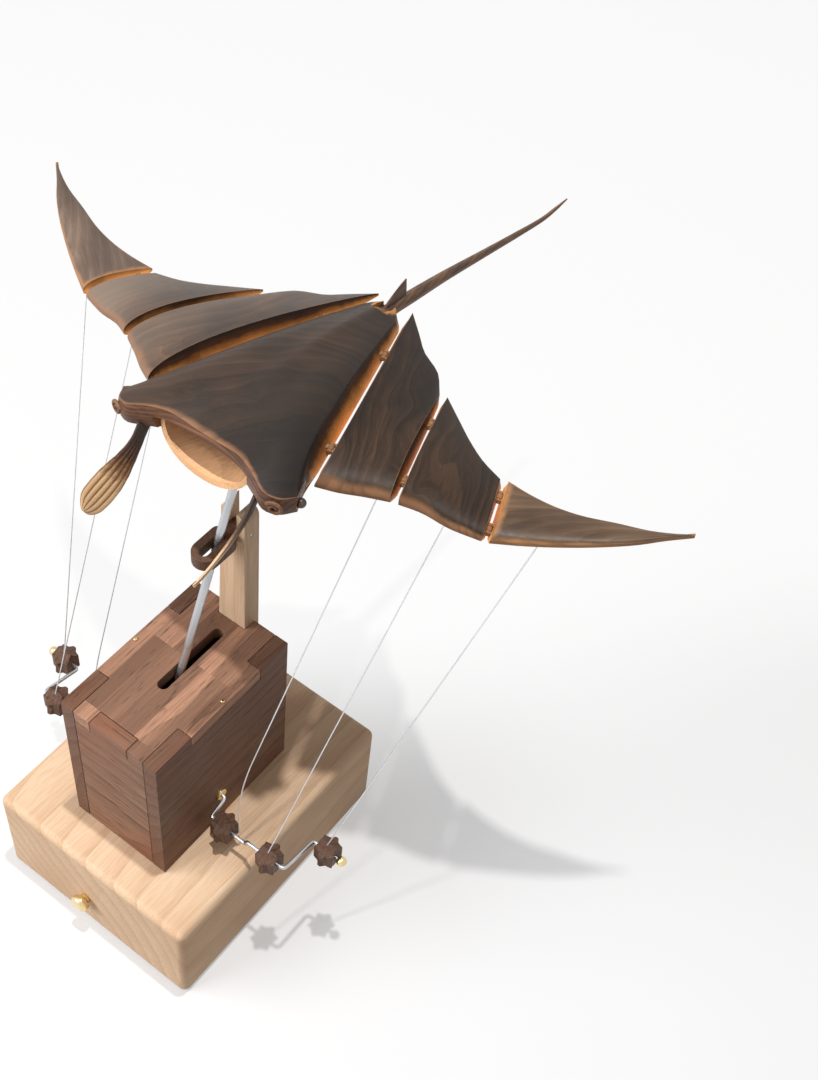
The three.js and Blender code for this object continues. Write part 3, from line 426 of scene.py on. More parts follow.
def grain_group():
    """Figure of sawn wood with its log along Y: growth rings, fibres and fine pores."""
    group, n, source, sink = new_group(
        "wood_figure",
        [
            ("Vector", "NodeSocketVector", None),
            ("Ring frequency", "NodeSocketFloat", 60.0),
            ("Wander", "NodeSocketFloat", 0.01),
            ("Wander frequency", "NodeSocketFloat", 9.0),
            ("Fibre frequency", "NodeSocketFloat", 900.0),
        ],
        ["Rings", "Fibres", "Pores"],
    )
    slow = n.drawn_out(source["Vector"], 0.35)
    warp = n.add(
        "TexNoise", {"Vector": slow, "Scale": source["Wander frequency"], "Detail": 3.0},
    ).outputs["Color"]
    centred = n.add("VectorMath", {0: warp, 1: (0.5, 0.5, 0.5)}, operation="SUBTRACT").outputs[0]
    pushed = n.add("VectorMath", {0: centred}, operation="SCALE")
    n.feed(pushed, "Scale", source["Wander"])
    moved = n.add(
        "VectorMath", {0: source["Vector"], 1: pushed.outputs[0]}, operation="ADD",
    ).outputs[0]
    rings = n.add(
        "TexWave", {"Vector": moved, "Scale": source["Ring frequency"], "Distortion": 0.0},
        wave_type="RINGS", rings_direction="Y", wave_profile="SAW",
    ).outputs["Fac"]
    fibres = n.add("TexNoise", {
        "Vector": n.drawn_out(moved, 0.03), "Scale": source["Fibre frequency"], "Detail": 4.0,
        "Roughness": 0.65,
    }).outputs["Fac"]
    pores = n.noise(n.drawn_out(moved, 0.09), source["Fibre frequency"], 1.0)
    group.links.new(rings, sink["Rings"])
    group.links.new(fibres, sink["Fibres"])
    group.links.new(n.smooth(pores, 0.62, 0.72), sink["Pores"])


def edge_group():
    """How near the surface is to a rim of its piece, from the piece's own map, broken up."""
    group, n, source, sink = new_group(
        "rubbed_edges",
        [
            ("Map", "NodeSocketVector", None),
            ("Vector", "NodeSocketVector", None),
            ("Span width", "NodeSocketFloat", 0.05),
            ("Front width", "NodeSocketFloat", 0.05),
            ("Rear width", "NodeSocketFloat", 0.02),
            ("Broken", "NodeSocketFloat", 0.5),
        ],
        ["Mask"],
    )
    split = n.split(source["Map"])
    end_place = n.math("MINIMUM", split[0], n.minus(1.0, split[0]))
    ends = n.math("DIVIDE", end_place, source["Span width"])
    front = n.math("DIVIDE", split[1], source["Front width"])
    rear = n.math("DIVIDE", n.minus(1.0, split[1]), source["Rear width"])
    nearest = n.math("MINIMUM", ends, n.math("MINIMUM", front, rear))
    shift = n.stray(n.noise(source["Vector"], 60.0, 4.0), n.times(source["Broken"], 3.0))
    group.links.new(n.smooth(n.plus(nearest, shift), 1.0, 0.0), sink["Mask"])


library = {}


def look(name):
    """A material by its name; the first call makes them all."""
    if not library:
        build_library()
    return library[name]


def new_material(name):
    """An empty material of the library, as its nodes and its shader."""
    material = bpy.data.materials.new("look_" + name)
    material.use_nodes = True
    library[name] = material
    return Nodes(material.node_tree), material.node_tree.nodes["Principled BSDF"]


def log_place(n, centre, turn):
    """Object coordinates, moved so that centre is the log's heart and turned to the grain."""
    shifted = n.add("VectorMath", {0: n.place(), 1: centre}, operation="SUBTRACT").outputs[0]
    return n.add("Mapping", {"Vector": shifted, "Rotation": turn}).outputs[0]


def figure_of(n, vector, rings, wander=0.01, wander_frequency=9.0, fibres=900.0):
    """Outputs of the wood figure at a place of the log."""
    inputs = {
        "Vector": vector, "Ring frequency": rings, "Wander": wander,
        "Wander frequency": wander_frequency, "Fibre frequency": fibres,
    }
    return n.add("Group", inputs, node_tree=bpy.data.node_groups["wood_figure"]).outputs


def finish(n, shader, colour, fibres, dullest, glossiest, height, relief, gloss, depth=0.3 * MM):
    """Colour, roughness that follows the fibres, relief and gloss of a wood."""
    n.feed(shader, "Base Color", colour)
    n.feed(shader, "Roughness", n.smooth(fibres, 0.2, 0.8, glossiest, dullest))
    n.relief(shader, relief, depth, height)
    shader.inputs["Specular IOR Level"].default_value = gloss


def wood(name, light, dark, centre, turn, frequency, wander, rings=0.6, fibres=0.5, pores=0.0,
         rough=0.5, wander_frequency=9.0, tint=None, strips=None):
    """Sawn and oiled wood; centre is a point of the log's heart, turn puts the grain along Y."""
    n, shader = new_material(name)
    vector = log_place(n, centre, turn)
    figure = figure_of(n, vector, frequency, wander, wander_frequency)
    late = n.math("POWER", figure["Rings"], 2.2)
    streak = n.smooth(figure["Fibres"], 0.3, 0.72)
    colour = n.mix(n.weighed(late, rings, streak, fibres, clamp=True), rgba(light), rgba(dark))
    cloud = n.smooth(n.noise(vector, 14.0, 2.0), 0.35, 0.75, 0.0, 0.55)
    colour = n.mix(cloud, colour, rgba(tint or toned(light, 0.72)))
    if strips:
        width, length, depth = strips
        bricks = n.add("TexBrick", {
            "Vector": vector, "Color1": (0, 0, 0, 1), "Color2": (1, 1, 1, 1),
            "Mortar": (0.5, 0.5, 0.5, 1), "Scale": 1.0, "Mortar Size": 0.0, "Bias": 0.0,
            "Brick Width": width, "Row Height": length,
        }).outputs["Color"]
        colour = n.mix(n.times(bricks, depth), colour, rgba(toned(light, 0.3)))
    if pores:
        colour = n.mix(n.times(figure["Pores"], pores), colour, rgba(toned(dark, 0.45)))
    height = n.weighed(figure["Fibres"], 0.6, late, 0.4)
    finish(n, shader, colour, figure["Fibres"], rough + 0.1, rough - 0.08, height, 0.25, 0.2)


def scorched(name, centre, turn, base=None, streak=None, bare=None, frequency=26.0, streaks=0.55,
             span_width=0.01, front_width=0.06, rear_width=0.01, broken=0.35, wander=0.05,
             worn=1.0, clouds=0.8, gloss=0.22, hollow=None, painted_sheen=0.0, painted_shade=None):
    """Scorched and oiled wood: near black over wavy rings, rubbed brown along the piece's rims."""
    s = bpy.context.scene.automaton
    n, shader = new_material(name)
    vector = log_place(n, centre, turn)
    broad, fine = (
        figure_of(n, vector, rings, wander, 11.0, 620.0) for rings in (frequency, frequency * 3.6)
    )
    band = n.smooth(broad["Rings"], 0.2, 1.0)
    line = n.smooth(fine["Rings"], 0.35, 1.0)
    fibre = n.smooth(fine["Fibres"], 0.35, 0.75)
    cloud = n.noise(vector, 15.0, 3.0)
    veil = n.smooth(cloud, 0.36, 0.68)
    warm = n.times(n.weighed(veil, 0.65, band, 0.35), clouds)
    lines = n.weighed(line, 0.45, fibre, 0.55)
    lines = n.times(n.times(lines, n.smooth(cloud, 0.3, 0.62, 0.15, 1.0)), streaks)
    colour = n.mix(
        n.plus(n.times(warm, 0.4), lines, clamp=True),
        rgba(base or s.char_colour), rgba(streak or s.char_streak),
    )
    shape = n.map_place("shape")
    place = n.place()
    # Painted shade: darker towards +x, from low to high, up to share
    if painted_shade:
        low, high, share = painted_shade
        moved = n.plus(n.split(place)[0], n.stray(cloud, 0.05))
        colour = n.mix(n.smooth(moved, low, high, 0.0, share), colour, (0.008, 0.006, 0.005, 1))
    # Painted sheen: lighter and greyer towards the piece's outer end and its front
    if painted_sheen:
        split = n.split(shape)
        outer = n.minus(n.plus(split[0], n.times(cloud, 0.5)), n.times(split[1], 0.55))
        colour = n.mix(n.smooth(outer, 0.05, 1.0, 0.0, painted_sheen), colour, (0.34, 0.265, 0.21, 1))
    edge = {
        "Map": shape, "Vector": place, "Span width": span_width, "Front width": front_width,
        "Rear width": rear_width, "Broken": broken,
    }
    mask = n.add("Group", edge, node_tree=bpy.data.node_groups["rubbed_edges"]).outputs["Mask"]
    mask = n.times(n.times(mask, worn), n.smooth(line, 0.0, 1.0, 1.0, 0.72), clamp=True)
    colour = n.mix(mask, colour, rgba(bare or s.bare_edge))
    if hollow is not None:
        ragged = n.plus(n.distance(place, hollow), n.stray(fine["Fibres"], 4 * MM))
        colour = n.mix(n.smooth(ragged, *HOLLOW_FADE, 0.0, 0.9), colour, rgba(s.seam_colour))
    height = n.weighed(fine["Fibres"], 0.5, line, 0.5)
    finish(n, shader, colour, fine["Fibres"], 0.54, 0.35, height, 0.3, gloss, depth=0.4 * MM)


def fin_wood(name):
    """Head fins: scorched at the root, bare tan wood at the tip, dark in the grooves."""
    s = bpy.context.scene.automaton
    n, shader = new_material(name)
    vector = log_place(n, (0, 0, 0.3), (0, 0, 0))
    fibres = figure_of(n, vector, 80.0, fibres=700.0)["Fibres"]
    split = n.split(n.map_place("shape"))
    colour = n.ramp(n.plus(split[0], n.stray(fibres, 0.5)), (
        (0.14, toned(s.char_colour, 1.2)), (0.36, (0.085, 0.038, 0.02)), (0.5, (0.34, 0.17, 0.08)),
        (0.66, s.fin_colour), (1.0, s.fin_colour),
    ))
    groove = n.times(n.math("COSINE", n.times(split[1], HEAD_FIN_GROOVES * math.pi)), -0.5)
    groove = n.smooth(n.plus(groove, 0.5), 0.6, 0.97)
    colour = n.mix(n.times(groove, 0.72), colour, (0.06, 0.028, 0.014, 1))
    finish(n, shader, colour, fibres, 0.55, 0.38, fibres, 0.25, 0.3)


def jaw_wood(name):
    """Pale wood of the lower jaw, with a painted shadow where the mouth goes back under the lip."""
    s = bpy.context.scene.automaton
    n, shader = new_material(name)
    vector = log_place(n, (0.02, 0.06, 0.42), (0.1, 0, 0.35))
    figure = figure_of(n, vector, 55.0, 0.012, fibres=800.0)
    fibres = figure["Fibres"]
    late = n.math("POWER", figure["Rings"], 2.0)
    amount = n.weighed(late, 0.3, n.smooth(fibres, 0.35, 0.7), 0.3)
    colour = n.mix(amount, rgba(s.jaw_colour), rgba(toned(s.jaw_colour, 0.55)))
    # Painted shadow of the lip: darker further back in the mouth
    back = n.plus(n.split(n.place())[1], n.stray(fibres, 6 * MM))
    painted_lip_shadow = n.smooth(back, 20 * MM, 37 * MM, 0.0, 0.8)
    colour = n.mix(painted_lip_shadow, colour, (0.13, 0.05, 0.02, 1))
    finish(n, shader, colour, fibres, 0.62, 0.45, fibres, 0.25, 0.3)


def toasted(name, pale=0.0):
    """Seam faces: dark along the piece's top edge, partly scorch and partly painted shade in the seam's
    gap, toasted orange towards its underside.
    """
    s = bpy.context.scene.automaton
    n, shader = new_material(name)
    vector = log_place(n, (0, 0.1, 0.3), (0, 0, 0.45))
    fibres = figure_of(n, vector, 70.0, 0.02, fibres=700.0)["Fibres"]
    depth = n.split(n.map_place("depth"))[0]
    moved = n.plus(n.stray(n.noise(vector, 45.0, 3.0), 0.55), depth)
    moved = n.plus(moved, n.stray(fibres, 0.3))
    light = s.seam_colour
    # The ramp's dark top is partly scorch and partly painted shade in the seam's gap
    colour = n.ramp(n.plus(moved, pale), (
        (0.12, s.char_colour), (0.34, (0.075, 0.031, 0.015)), (0.52, toned(light, 0.45)),
        (0.8, light), (1.0, toned(light, 1.5)),
    ))
    finish(n, shader, colour, fibres, 0.5, 0.5, fibres, 0.2, 0.3)


def metal(name, colour, rough):
    """Polished or drawn metal with faint scratches and dull patches."""
    n, shader = new_material(name)
    place = n.place()
    fine = n.noise(place, 420.0, 5.0)
    wide = n.noise(place, 60.0, 2.0)
    dull = n.times(n.smooth(wide, 0.35, 0.75), 0.45)
    n.feed(shader, "Base Color", n.mix(dull, rgba(colour), rgba(toned(colour, 0.7))))
    shader.inputs["Metallic"].default_value = 1.0
    worn = n.weighed(fine, 0.5, wide, 0.5)
    n.feed(shader, "Roughness", n.smooth(worn, 0.3, 0.7, rough - 0.06, rough + 0.15))
    n.relief(shader, 0.05, 0.2 * MM, fine)


def bead(name, colour, ring_colour, sign):
    """Glossy bead with a brown ring round a dark pupil."""
    n, shader = new_material(name)
    place = n.place()
    away = n.distance(place, mirrored_vector(EYE_POLE, sign))
    ring = n.times(n.smooth(away, *RING_INSIDE), n.smooth(away, *RING_OUTSIDE))
    speck = n.noise(place, 900.0, 2.0)
    ring_mixed = n.mix(n.smooth(speck, 0.4, 0.7), rgba(ring_colour), rgba(toned(ring_colour, 0.5)))
    n.feed(shader, "Base Color", n.mix(ring, rgba(colour), ring_mixed))
    n.feed(shader, "Roughness", n.smooth(speck, 0.3, 0.7, 0.3, 0.42))
    shader.inputs["Coat Weight"].default_value = 0.2


def camera_sees(n):
    """1 for what the camera sees, directly, in a mirror or through glass"""
    path = n.add("LightPath").outputs
    mirrors = n.plus(path["Is Glossy Ray"], path["Is Transmission Ray"])
    return n.plus(path["Is Camera Ray"], mirrors, clamp=True)


def paper(name):
    """Pale floor with a painted pool of light towards the far left: there it glows for the camera and
    takes little lamp light, so its shadows fade
    """
    n, shader = new_material(name)
    seen = camera_sees(n)
    place = n.place()
    split = n.split(place)
    along = n.minus(n.times(split[0], 0.8), n.times(split[1], 0.6))
    away = n.add("VectorMath", {0: place}, operation="LENGTH").outputs["Value"]
    # near is 1 close to the object and 0 at the far left, where the diffuse colour drops and a glow
    # seen by the camera takes its place: painted light that fades the shadows
    near = n.times(n.smooth(along, -0.15, 0.04), n.smooth(away, 0.42, 0.95, 1.0, 0.0))
    lit = n.mix(near, (0.12, 0.12, 0.12, 1), rgba(bpy.context.scene.automaton.floor_colour))
    n.feed(shader, "Base Color", n.mix(seen, (0.36, 0.34, 0.31, 1), lit))
    painted_glow = n.mix(near, (0.86, 0.86, 0.86, 1), (0.37, 0.37, 0.372, 1))
    n.feed(shader, "Emission Color", n.mix(seen, (0, 0, 0, 1), painted_glow))
    shader.inputs["Emission Strength"].default_value = 1.0
    shader.inputs["Roughness"].default_value = 0.9
    shader.inputs["Specular IOR Level"].default_value = 0.1


def build_library():
    """Makes every material once; pieces take them from the library by name."""
    grain_group()
    edge_group()
    paper("floor_paper")
    box_woods()
    body_woods()
    for side, sign in SIDES:
        wing_woods(side, sign)
    metal("steel", (0.56, 0.57, 0.59), 0.3)
    metal("wire_steel", (0.72, 0.72, 0.74), 0.45)
    metal("brass", (0.86, 0.68, 0.36), 0.22)
    bead("bead_right", (0.03, 0.02, 0.016), (0.12, 0.055, 0.03), 1)
    bead("bead_left", (0.02, 0.014, 0.012), (0.5, 0.3, 0.18), -1)


def box_woods():
    s = bpy.context.scene.automaton
    wood(
        "maple_base", s.maple_light, s.maple_dark, (-0.16, 0, -0.09), (0.03, 0, 0.04), 26.0, 0.05,
        rings=0.42, fibres=0.42, rough=0.55, tint=(0.66, 0.4, 0.24), wander_frequency=7.0,
    )
    wood(
        "maple_post", s.maple_light, s.maple_dark, (0.05, 0.09, 0.2), (QUARTER, 0, 0.02), 45.0,
        0.012, rings=0.45, fibres=0.45,
    )
    wood(
        "walnut_top", toned(s.walnut_light, 2.0), toned(s.walnut_dark, 1.2), (0.03, 0, 0.12),
        (0, 0, 0), 52.0, 0.014, rings=0.3, fibres=0.45, pores=0.5, strips=(0.0095, 0.058, 0.95),
    )
    # The sides' copy of the walnut is darker than the front's: painted shade on the box's side boards
    for name, share, centre, turn, tint in (
        ("walnut_shaded_sides", 0.8, (0.1, 0, 0.05), (0.05, 0, 0), (0.17, 0.06, 0.032)),
        ("walnut_front", 1.15, (0, -0.12, 0.09), (0, 0, QUARTER), (0.3, 0.11, 0.058)),
    ):
        wood(
            name, toned(s.walnut_light, share), s.walnut_dark, centre, turn, 30.0, 0.04,
            rings=0.35, fibres=0.45, pores=0.5, rough=0.52, tint=tint,
        )
    wood(
        "walnut_small", toned(s.walnut_light, 0.62), s.walnut_dark, (0, -0.03, 0.08),
        (QUARTER, 0, 0.2), 90.0, 0.01, rings=0.4, fibres=0.7, pores=0.5,
    )


def body_woods():
    jaw_wood("jaw_wood")
    fin_wood("head_fin")
    # The body is painted darker towards its right side, as shade
    scorched(
        "manta_body", (-0.2, 0.42, 0.2), (0.2, 0, 0.96), frequency=13.0, span_width=0.006,
        front_width=0.03, rear_width=0.003, wander=0.1, streaks=0.26, broken=0.3, clouds=0.62,
        gloss=0.26, hollow=HOLLOW_PLACE, painted_shade=(-0.01, 0.045, 0.75),
    )
    for name, base, streak in (
        ("lip_wood", (0.06, 0.028, 0.018), (0.27, 0.13, 0.075)),
        ("curl_wood", (0.15, 0.075, 0.043), (0.36, 0.19, 0.11)),
    ):
        scorched(
            name, (0.0, 0.05, 0.3), (0, 0, QUARTER), base=base, streak=streak, frequency=40.0,
            streaks=1.1, worn=0.0, clouds=1.0,
        )
    scorched(
        "tail", (0.02, 0.3, 0.3), (0, 0, 0.05), base=(0.05, 0.032, 0.024),
        streak=(0.3, 0.16, 0.09), frequency=40.0, span_width=0.02, front_width=0.1, rear_width=0.1,
        wander=0.01, streaks=1.0, broken=0.8, worn=0.6, clouds=1.2,
    )
    toasted("toasted")
    toasted("toasted_middle", pale=0.26)
    toasted("toasted_pale", pale=0.55)
    wood(
        "knuckle_wood", (0.5, 0.27, 0.14), (0.25, 0.11, 0.05), (0, 0.1, 0.3), (0, 0, 0.45), 90.0,
        0.01, rings=0.3, fibres=0.5,
    )


def wing_woods(side, sign):
    """Both wings are scorched near black; the right one is painted darker, as shade, and the left one
    greyer and lighter towards its tip, as a painted sheen.
    """
    right = sign > 0
    for k, segment in enumerate(SEGMENTS[:2]):
        seam = SEAMS[k].axis
        # The right segments are painted darker, as shade; the left ones greyer, as sheen
        scorched(
            f"wing_{side}_{segment}", (sign * (-0.12 + 0.02 * k), 0.0, 0.22),
            (0, 0.1, QUARTER - math.atan2(seam.y, seam.x * sign)), frequency=12.0 + 2 * k,
            base=(
                (0.013, 0.0098, 0.008) if right
                else (0.034 + 0.016 * k, 0.026 + 0.012 * k, 0.022 + 0.01 * k)
            ),
            streaks=0.34 if right else 0.8, clouds=0.4 if right else 0.9, broken=0.4, wander=0.12,
            front_width=0.04, rear_width=0.004, gloss=0.16 if right else 0.4,
            painted_sheen=0.0 if right else (0.25, 0.5)[k],
        )
    reach = FRONT_EDGES[2].at(1) - FRONT_EDGES[2].at(0)
    # The tip too is painted darker on the right, as shade, and greyer on the left, as sheen
    scorched(
        f"wing_{side}_tip", (sign * 0.15, 0.2, 0.2),
        (0, 0, QUARTER - math.atan2(reach.y, reach.x * sign)),
        base=(0.052, 0.03, 0.018) if right else (0.1, 0.068, 0.052),
        streak=(0.2, 0.118, 0.066) if right else (0.25, 0.175, 0.13), bare=(0.42, 0.2, 0.085),
        frequency=24.0, front_width=0.06, rear_width=0.03, wander=0.04, streaks=0.8, broken=0.6,
        span_width=0.035, clouds=1.4, gloss=0.3,
    )


def body_of(node):
    for body, nodes in frame["record"]["behaviour"]["bodies"].items():
        if node in nodes:
            return body
    raise RuntimeError("no body for " + node)


def in_scene(name, data):
    thing = bpy.data.objects.new(name, data)
    bpy.context.scene.collection.objects.link(thing)
    return thing


def mesh_from(name, bm):
    mesh = bpy.data.meshes.new(name)
    bm.to_mesh(mesh)
    bm.free()
    return mesh


def smooth_object(name, bm, *materials, angle=40.0):
    """A finished bmesh as an object with smooth faces, sharp where they meet at over angle."""
    mesh = mesh_from(name, bm)
    for polygon in mesh.polygons:
        polygon.use_smooth = True
    mesh.set_sharp_from_angle(angle=math.radians(angle))
    for material in materials:
        mesh.materials.append(look(material))
    return in_scene(name, mesh)


def stands_for(node):
    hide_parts(node)


def piece(name, bm, material, node, angle=40.0):
    """An object that stands for a CAD node and rides on the node's body."""
    thing = smooth_object(name, bm, material, angle=angle)
    stands_for(node)
    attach(thing, body_of(node))
    return thing


def cut_piece(name, bm, materials, node, cutters):
    """A piece with helper solids cut out of it."""
    thing = smooth_object(name, bm, *materials)
    stands_for(node)
    cut(thing, cutters)
    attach(thing, body_of(node))


def cut(thing, cutters):
    """Cuts helper solids with a Boolean modifier and keeps only the result."""
    for cutter in cutters:
        modifier = thing.modifiers.new("cut", "BOOLEAN")
        modifier.operation = "DIFFERENCE"
        modifier.solver = "MANIFOLD"
        modifier.object = cutter
    bpy.context.view_layer.update()
    seen = bpy.context.evaluated_depsgraph_get()
    mesh = bpy.data.meshes.new_from_object(
        thing.evaluated_get(seen), preserve_all_data_layers=True, depsgraph=seen,
    )
    thing.modifiers.clear()
    old = thing.data
    thing.data = mesh
    bpy.data.meshes.remove(old)
    for cutter in cutters:
        data = cutter.data
        bpy.data.objects.remove(cutter)
        bpy.data.meshes.remove(data)
    mesh.set_sharp_from_angle(angle=math.radians(40))


def keep_faces_flat(thing):
    weighted = thing.modifiers.new("flat_faces", "WEIGHTED_NORMAL")
    weighted.keep_sharp = True


def recalculated(bm):
    bmesh.ops.remove_doubles(bm, verts=bm.verts, dist=1e-7)
    bmesh.ops.recalc_face_normals(bm, faces=bm.faces)
    return bm


def sharp_edges(bm, angle=30.0):
    limit = math.radians(angle)
    return [e for e in bm.edges if e.is_manifold and e.calc_face_angle(0) > limit]


def round_over(bm, edges, radius, segments):
    bmesh.ops.bevel(
        bm, geom=edges, offset=radius, offset_type="OFFSET", segments=segments, affect="EDGES",
        profile=0.5, clamp_overlap=True, material=-1,
    )


def eased(node, material, radius=None, segments=3):
    """A copy of a CAD node with flat faces rejoined and its edges rounded over."""
    radius = bpy.context.scene.automaton.edge_bevel if radius is None else radius
    bm = bmesh.new()
    bm.from_mesh(frame["nodes"][node].data)
    bmesh.ops.remove_doubles(bm, verts=bm.verts, dist=2e-6)
    bmesh.ops.dissolve_limit(bm, angle_limit=math.radians(0.6), verts=bm.verts, edges=bm.edges)
    round_over(bm, sharp_edges(bm), radius, segments)
    keep_faces_flat(piece("look_" + node, bm, material, node))


def axis_turn(axis):
    """The turn that takes Z to an axis."""
    return Vector((0, 0, 1)).rotation_difference(Vector(axis)).to_matrix().to_4x4()


def turned(name, profile, start, end, material, node, steps=40):
    """A piece turned on a lathe: profile holds (radius, distance along the axis) pairs."""
    bm = bmesh.new()
    verts = [bm.verts.new((radius, 0, along)) for radius, along in profile]
    for pair in zip(verts, verts[1:]):
        bm.edges.new(pair)
    bmesh.ops.spin(
        bm, geom=bm.verts[:] + bm.edges[:], cent=(0, 0, 0), axis=(0, 0, 1), dvec=(0, 0, 0),
        angle=2 * math.pi, steps=steps, use_merge=True, use_duplicate=False,
    )
    recalculated(bm)
    axis = (Vector(end) - Vector(start)).normalized()
    bmesh.ops.transform(bm, matrix=Matrix.Translation(start) @ axis_turn(axis), verts=bm.verts)
    piece(name, bm, material, node, angle=35)


def pin(name, start, end, radius, material, node, chamfer=0.25 * MM, steps=24):
    """A straight round pin with chamfered ends."""
    length = (Vector(end) - Vector(start)).length
    profile = [
        (0, 0), (radius - chamfer, 0), (radius, chamfer), (radius, length - chamfer),
        (radius - chamfer, length), (0, length),
    ]
    turned(name, profile, start, end, material, node, steps=steps)


def boxed_pin(name, node, radius, material):
    """A pin along X, as long as its CAD node."""
    low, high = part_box(node)
    middle = (low + high) / 2
    pin(name, (low.x, middle.y, middle.z), (high.x, middle.y, middle.z), radius, material, node)


def rod_mesh(points, radii, sides):
    """A round rod along a line of points, closed at both ends, as a bmesh."""
    curve = bpy.data.curves.new("rod_line", "CURVE")
    curve.dimensions = "3D"
    curve.bevel_depth = 1.0
    curve.bevel_resolution = sides // 4 - 1
    curve.use_fill_caps = True
    curve.twist_mode = "MINIMUM"
    spline = curve.splines.new("POLY")
    spline.points.add(len(points) - 1)
    for place, point, radius in zip(spline.points, points, radii):
        place.co = (*point, 1)
        place.radius = radius
    holder = in_scene("rod_line", curve)
    bpy.context.view_layer.update()
    seen = bpy.context.evaluated_depsgraph_get()
    mesh = bpy.data.meshes.new_from_object(holder.evaluated_get(seen))
    bm = bmesh.new()
    bm.from_mesh(mesh)
    bpy.data.objects.remove(holder)
    bpy.data.curves.remove(curve)
    bpy.data.meshes.remove(mesh)
    return recalculated(bm)


def rounded_path(corners, radius, steps=6):
    """A line of points with its corners rounded, as a bent rod has them."""
    points = [Vector(corners[0])]
    for before, corner, after in zip(corners, corners[1:], corners[2:]):
        corner = Vector(corner)
        back = Vector(before) - corner
        on = Vector(after) - corner
        reach = min(radius, back.length * 0.48, on.length * 0.48)
        start = corner + back.normalized() * reach
        end = corner + on.normalized() * reach
        for i in range(steps + 1):
            t = i / steps
            points.append(start * (1 - t) ** 2 + corner * 2 * t * (1 - t) + end * t * t)
    points.append(Vector(corners[-1]))
    return points


def fill_map(bm, layer, places):
    for face in bm.faces:
        for loop in face.loops:
            loop[layer].uv = places[loop.vert]


def lofted(rings, coordinates=None, cap_index=0, depths=None):
    """Bridges closed rings of points with equal counts and caps both ends.

    coordinates give each point its place on the map "shape". depths holds 0 for the points of a
    ring's top and 1 for those of its underside, for the map "depth".
    """
    bm = bmesh.new()
    shape_map = bm.loops.layers.uv.new("shape")
    depth_map = bm.loops.layers.uv.new("depth") if depths else None
    made = []
    for ring in rings:
        verts = [bm.verts.new(p) for p in ring]
        made.append((verts, [bm.edges.new(pair) for pair in zip(verts, verts[1:] + verts[:1])]))
    for (_, a), (_, b) in zip(made, made[1:]):
        bmesh.ops.bridge_loops(bm, edges=a + b)
    for verts, _ in (made[0], made[-1]):
        face = bm.faces.new(verts)
        face.material_index = cap_index
        # A ring with as many points above as below is capped in strips from top to underside
        if depths and sum(depths) * 2 == len(depths):
            for a, b in list(zip(verts, verts[::-1]))[1:len(verts) // 2 - 1]:
                bmesh.ops.connect_verts(bm, verts=[a, b])
    bm.normal_update()
    bmesh.ops.recalc_face_normals(bm, faces=bm.faces)
    if coordinates:
        fill_map(bm, shape_map, {
            vert: spot for (verts, _), row in zip(made, coordinates) for vert, spot in zip(verts, row)
        })
    if depths:
        fill_map(bm, depth_map, {
            vert: (share, 0) for verts, _ in made for vert, share in zip(verts, depths)
        })
    return bm


def block_mesh(size, centre):
    bm = bmesh.new()
    bmesh.ops.create_cube(bm, size=1.0)
    bmesh.ops.scale(bm, vec=size, verts=bm.verts)
    bmesh.ops.translate(bm, vec=centre, verts=bm.verts)
    return bm


def helper_object(bm):
    return in_scene("helper", mesh_from("helper", bm))


def helper_cylinder(centre, axis, radius, length):
    bm = bmesh.new()
    bmesh.ops.create_cone(
        bm, cap_ends=True, segments=32, radius1=radius, radius2=radius, depth=length,
        matrix=Matrix.Translation(centre) @ axis_turn(axis),
    )
    return helper_object(bm)


def on_manta(spot):
    x, y, drop = spot
    return Vector((x * HALF_SPAN, NOSE_Y + y * MANTA_LENGTH, MANTA_LEVEL - drop * WING_DROP))


def mirrored_vector(v, sign):
    return Vector((v.x * sign, v.y, v.z))


def lerp(a, b, t):
    return a + (b - a) * t


class Edge:
    """A smooth line through given points, read by its length from 0 to 1."""

    def __init__(self, points):
        self.line = [points[0]]
        count = len(points)
        for i in range(count - 1):
            p0 = points[i - 1] if i else points[0] * 2 - points[1]
            p1, p2 = points[i], points[i + 1]
            p3 = points[i + 2] if i + 2 < count else points[-1] * 2 - points[-2]
            for k in range(1, 13):
                self.line.append(self.centripetal(p0, p1, p2, p3, k / 12))
        self.lengths = [0.0]
        for a, b in zip(self.line, self.line[1:]):
            self.lengths.append(self.lengths[-1] + (b - a).length)

    @staticmethod
    def centripetal(p0, p1, p2, p3, t):
        t01, t12, t23 = (max((b - a).length ** 0.5, 1e-6) for a, b in ((p0, p1), (p1, p2), (p2, p3)))
        m1 = (p1 - p0) / t01 - (p2 - p0) / (t01 + t12) + (p2 - p1) / t12
        m2 = (p2 - p1) / t12 - (p3 - p1) / (t12 + t23) + (p3 - p2) / t23
        m1 *= t12
        m2 *= t12
        return (
            (2 * t ** 3 - 3 * t ** 2 + 1) * p1 + (t ** 3 - 2 * t ** 2 + t) * m1
            + (3 * t ** 2 - 2 * t ** 3) * p2 + (t ** 3 - t ** 2) * m2
        )

    def at(self, share):
        wanted = max(0.0, min(1.0, share)) * self.lengths[-1]
        for i in range(1, len(self.lengths)):
            if self.lengths[i] >= wanted or i == len(self.lengths) - 1:
                step = self.lengths[i] - self.lengths[i - 1]
                t = (wanted - self.lengths[i - 1]) / step if step else 0
                return self.line[i - 1].lerp(self.line[i], min(t, 1.0))
        return self.line[-1]


FRONT_EDGES = [Edge([on_manta(p) for p in row]) for row in FRONTS]
REAR_EDGES = [Edge([on_manta(p) for p in row]) for row in REARS]
LIP_EDGE = Edge([on_manta(p) for p in LIP])


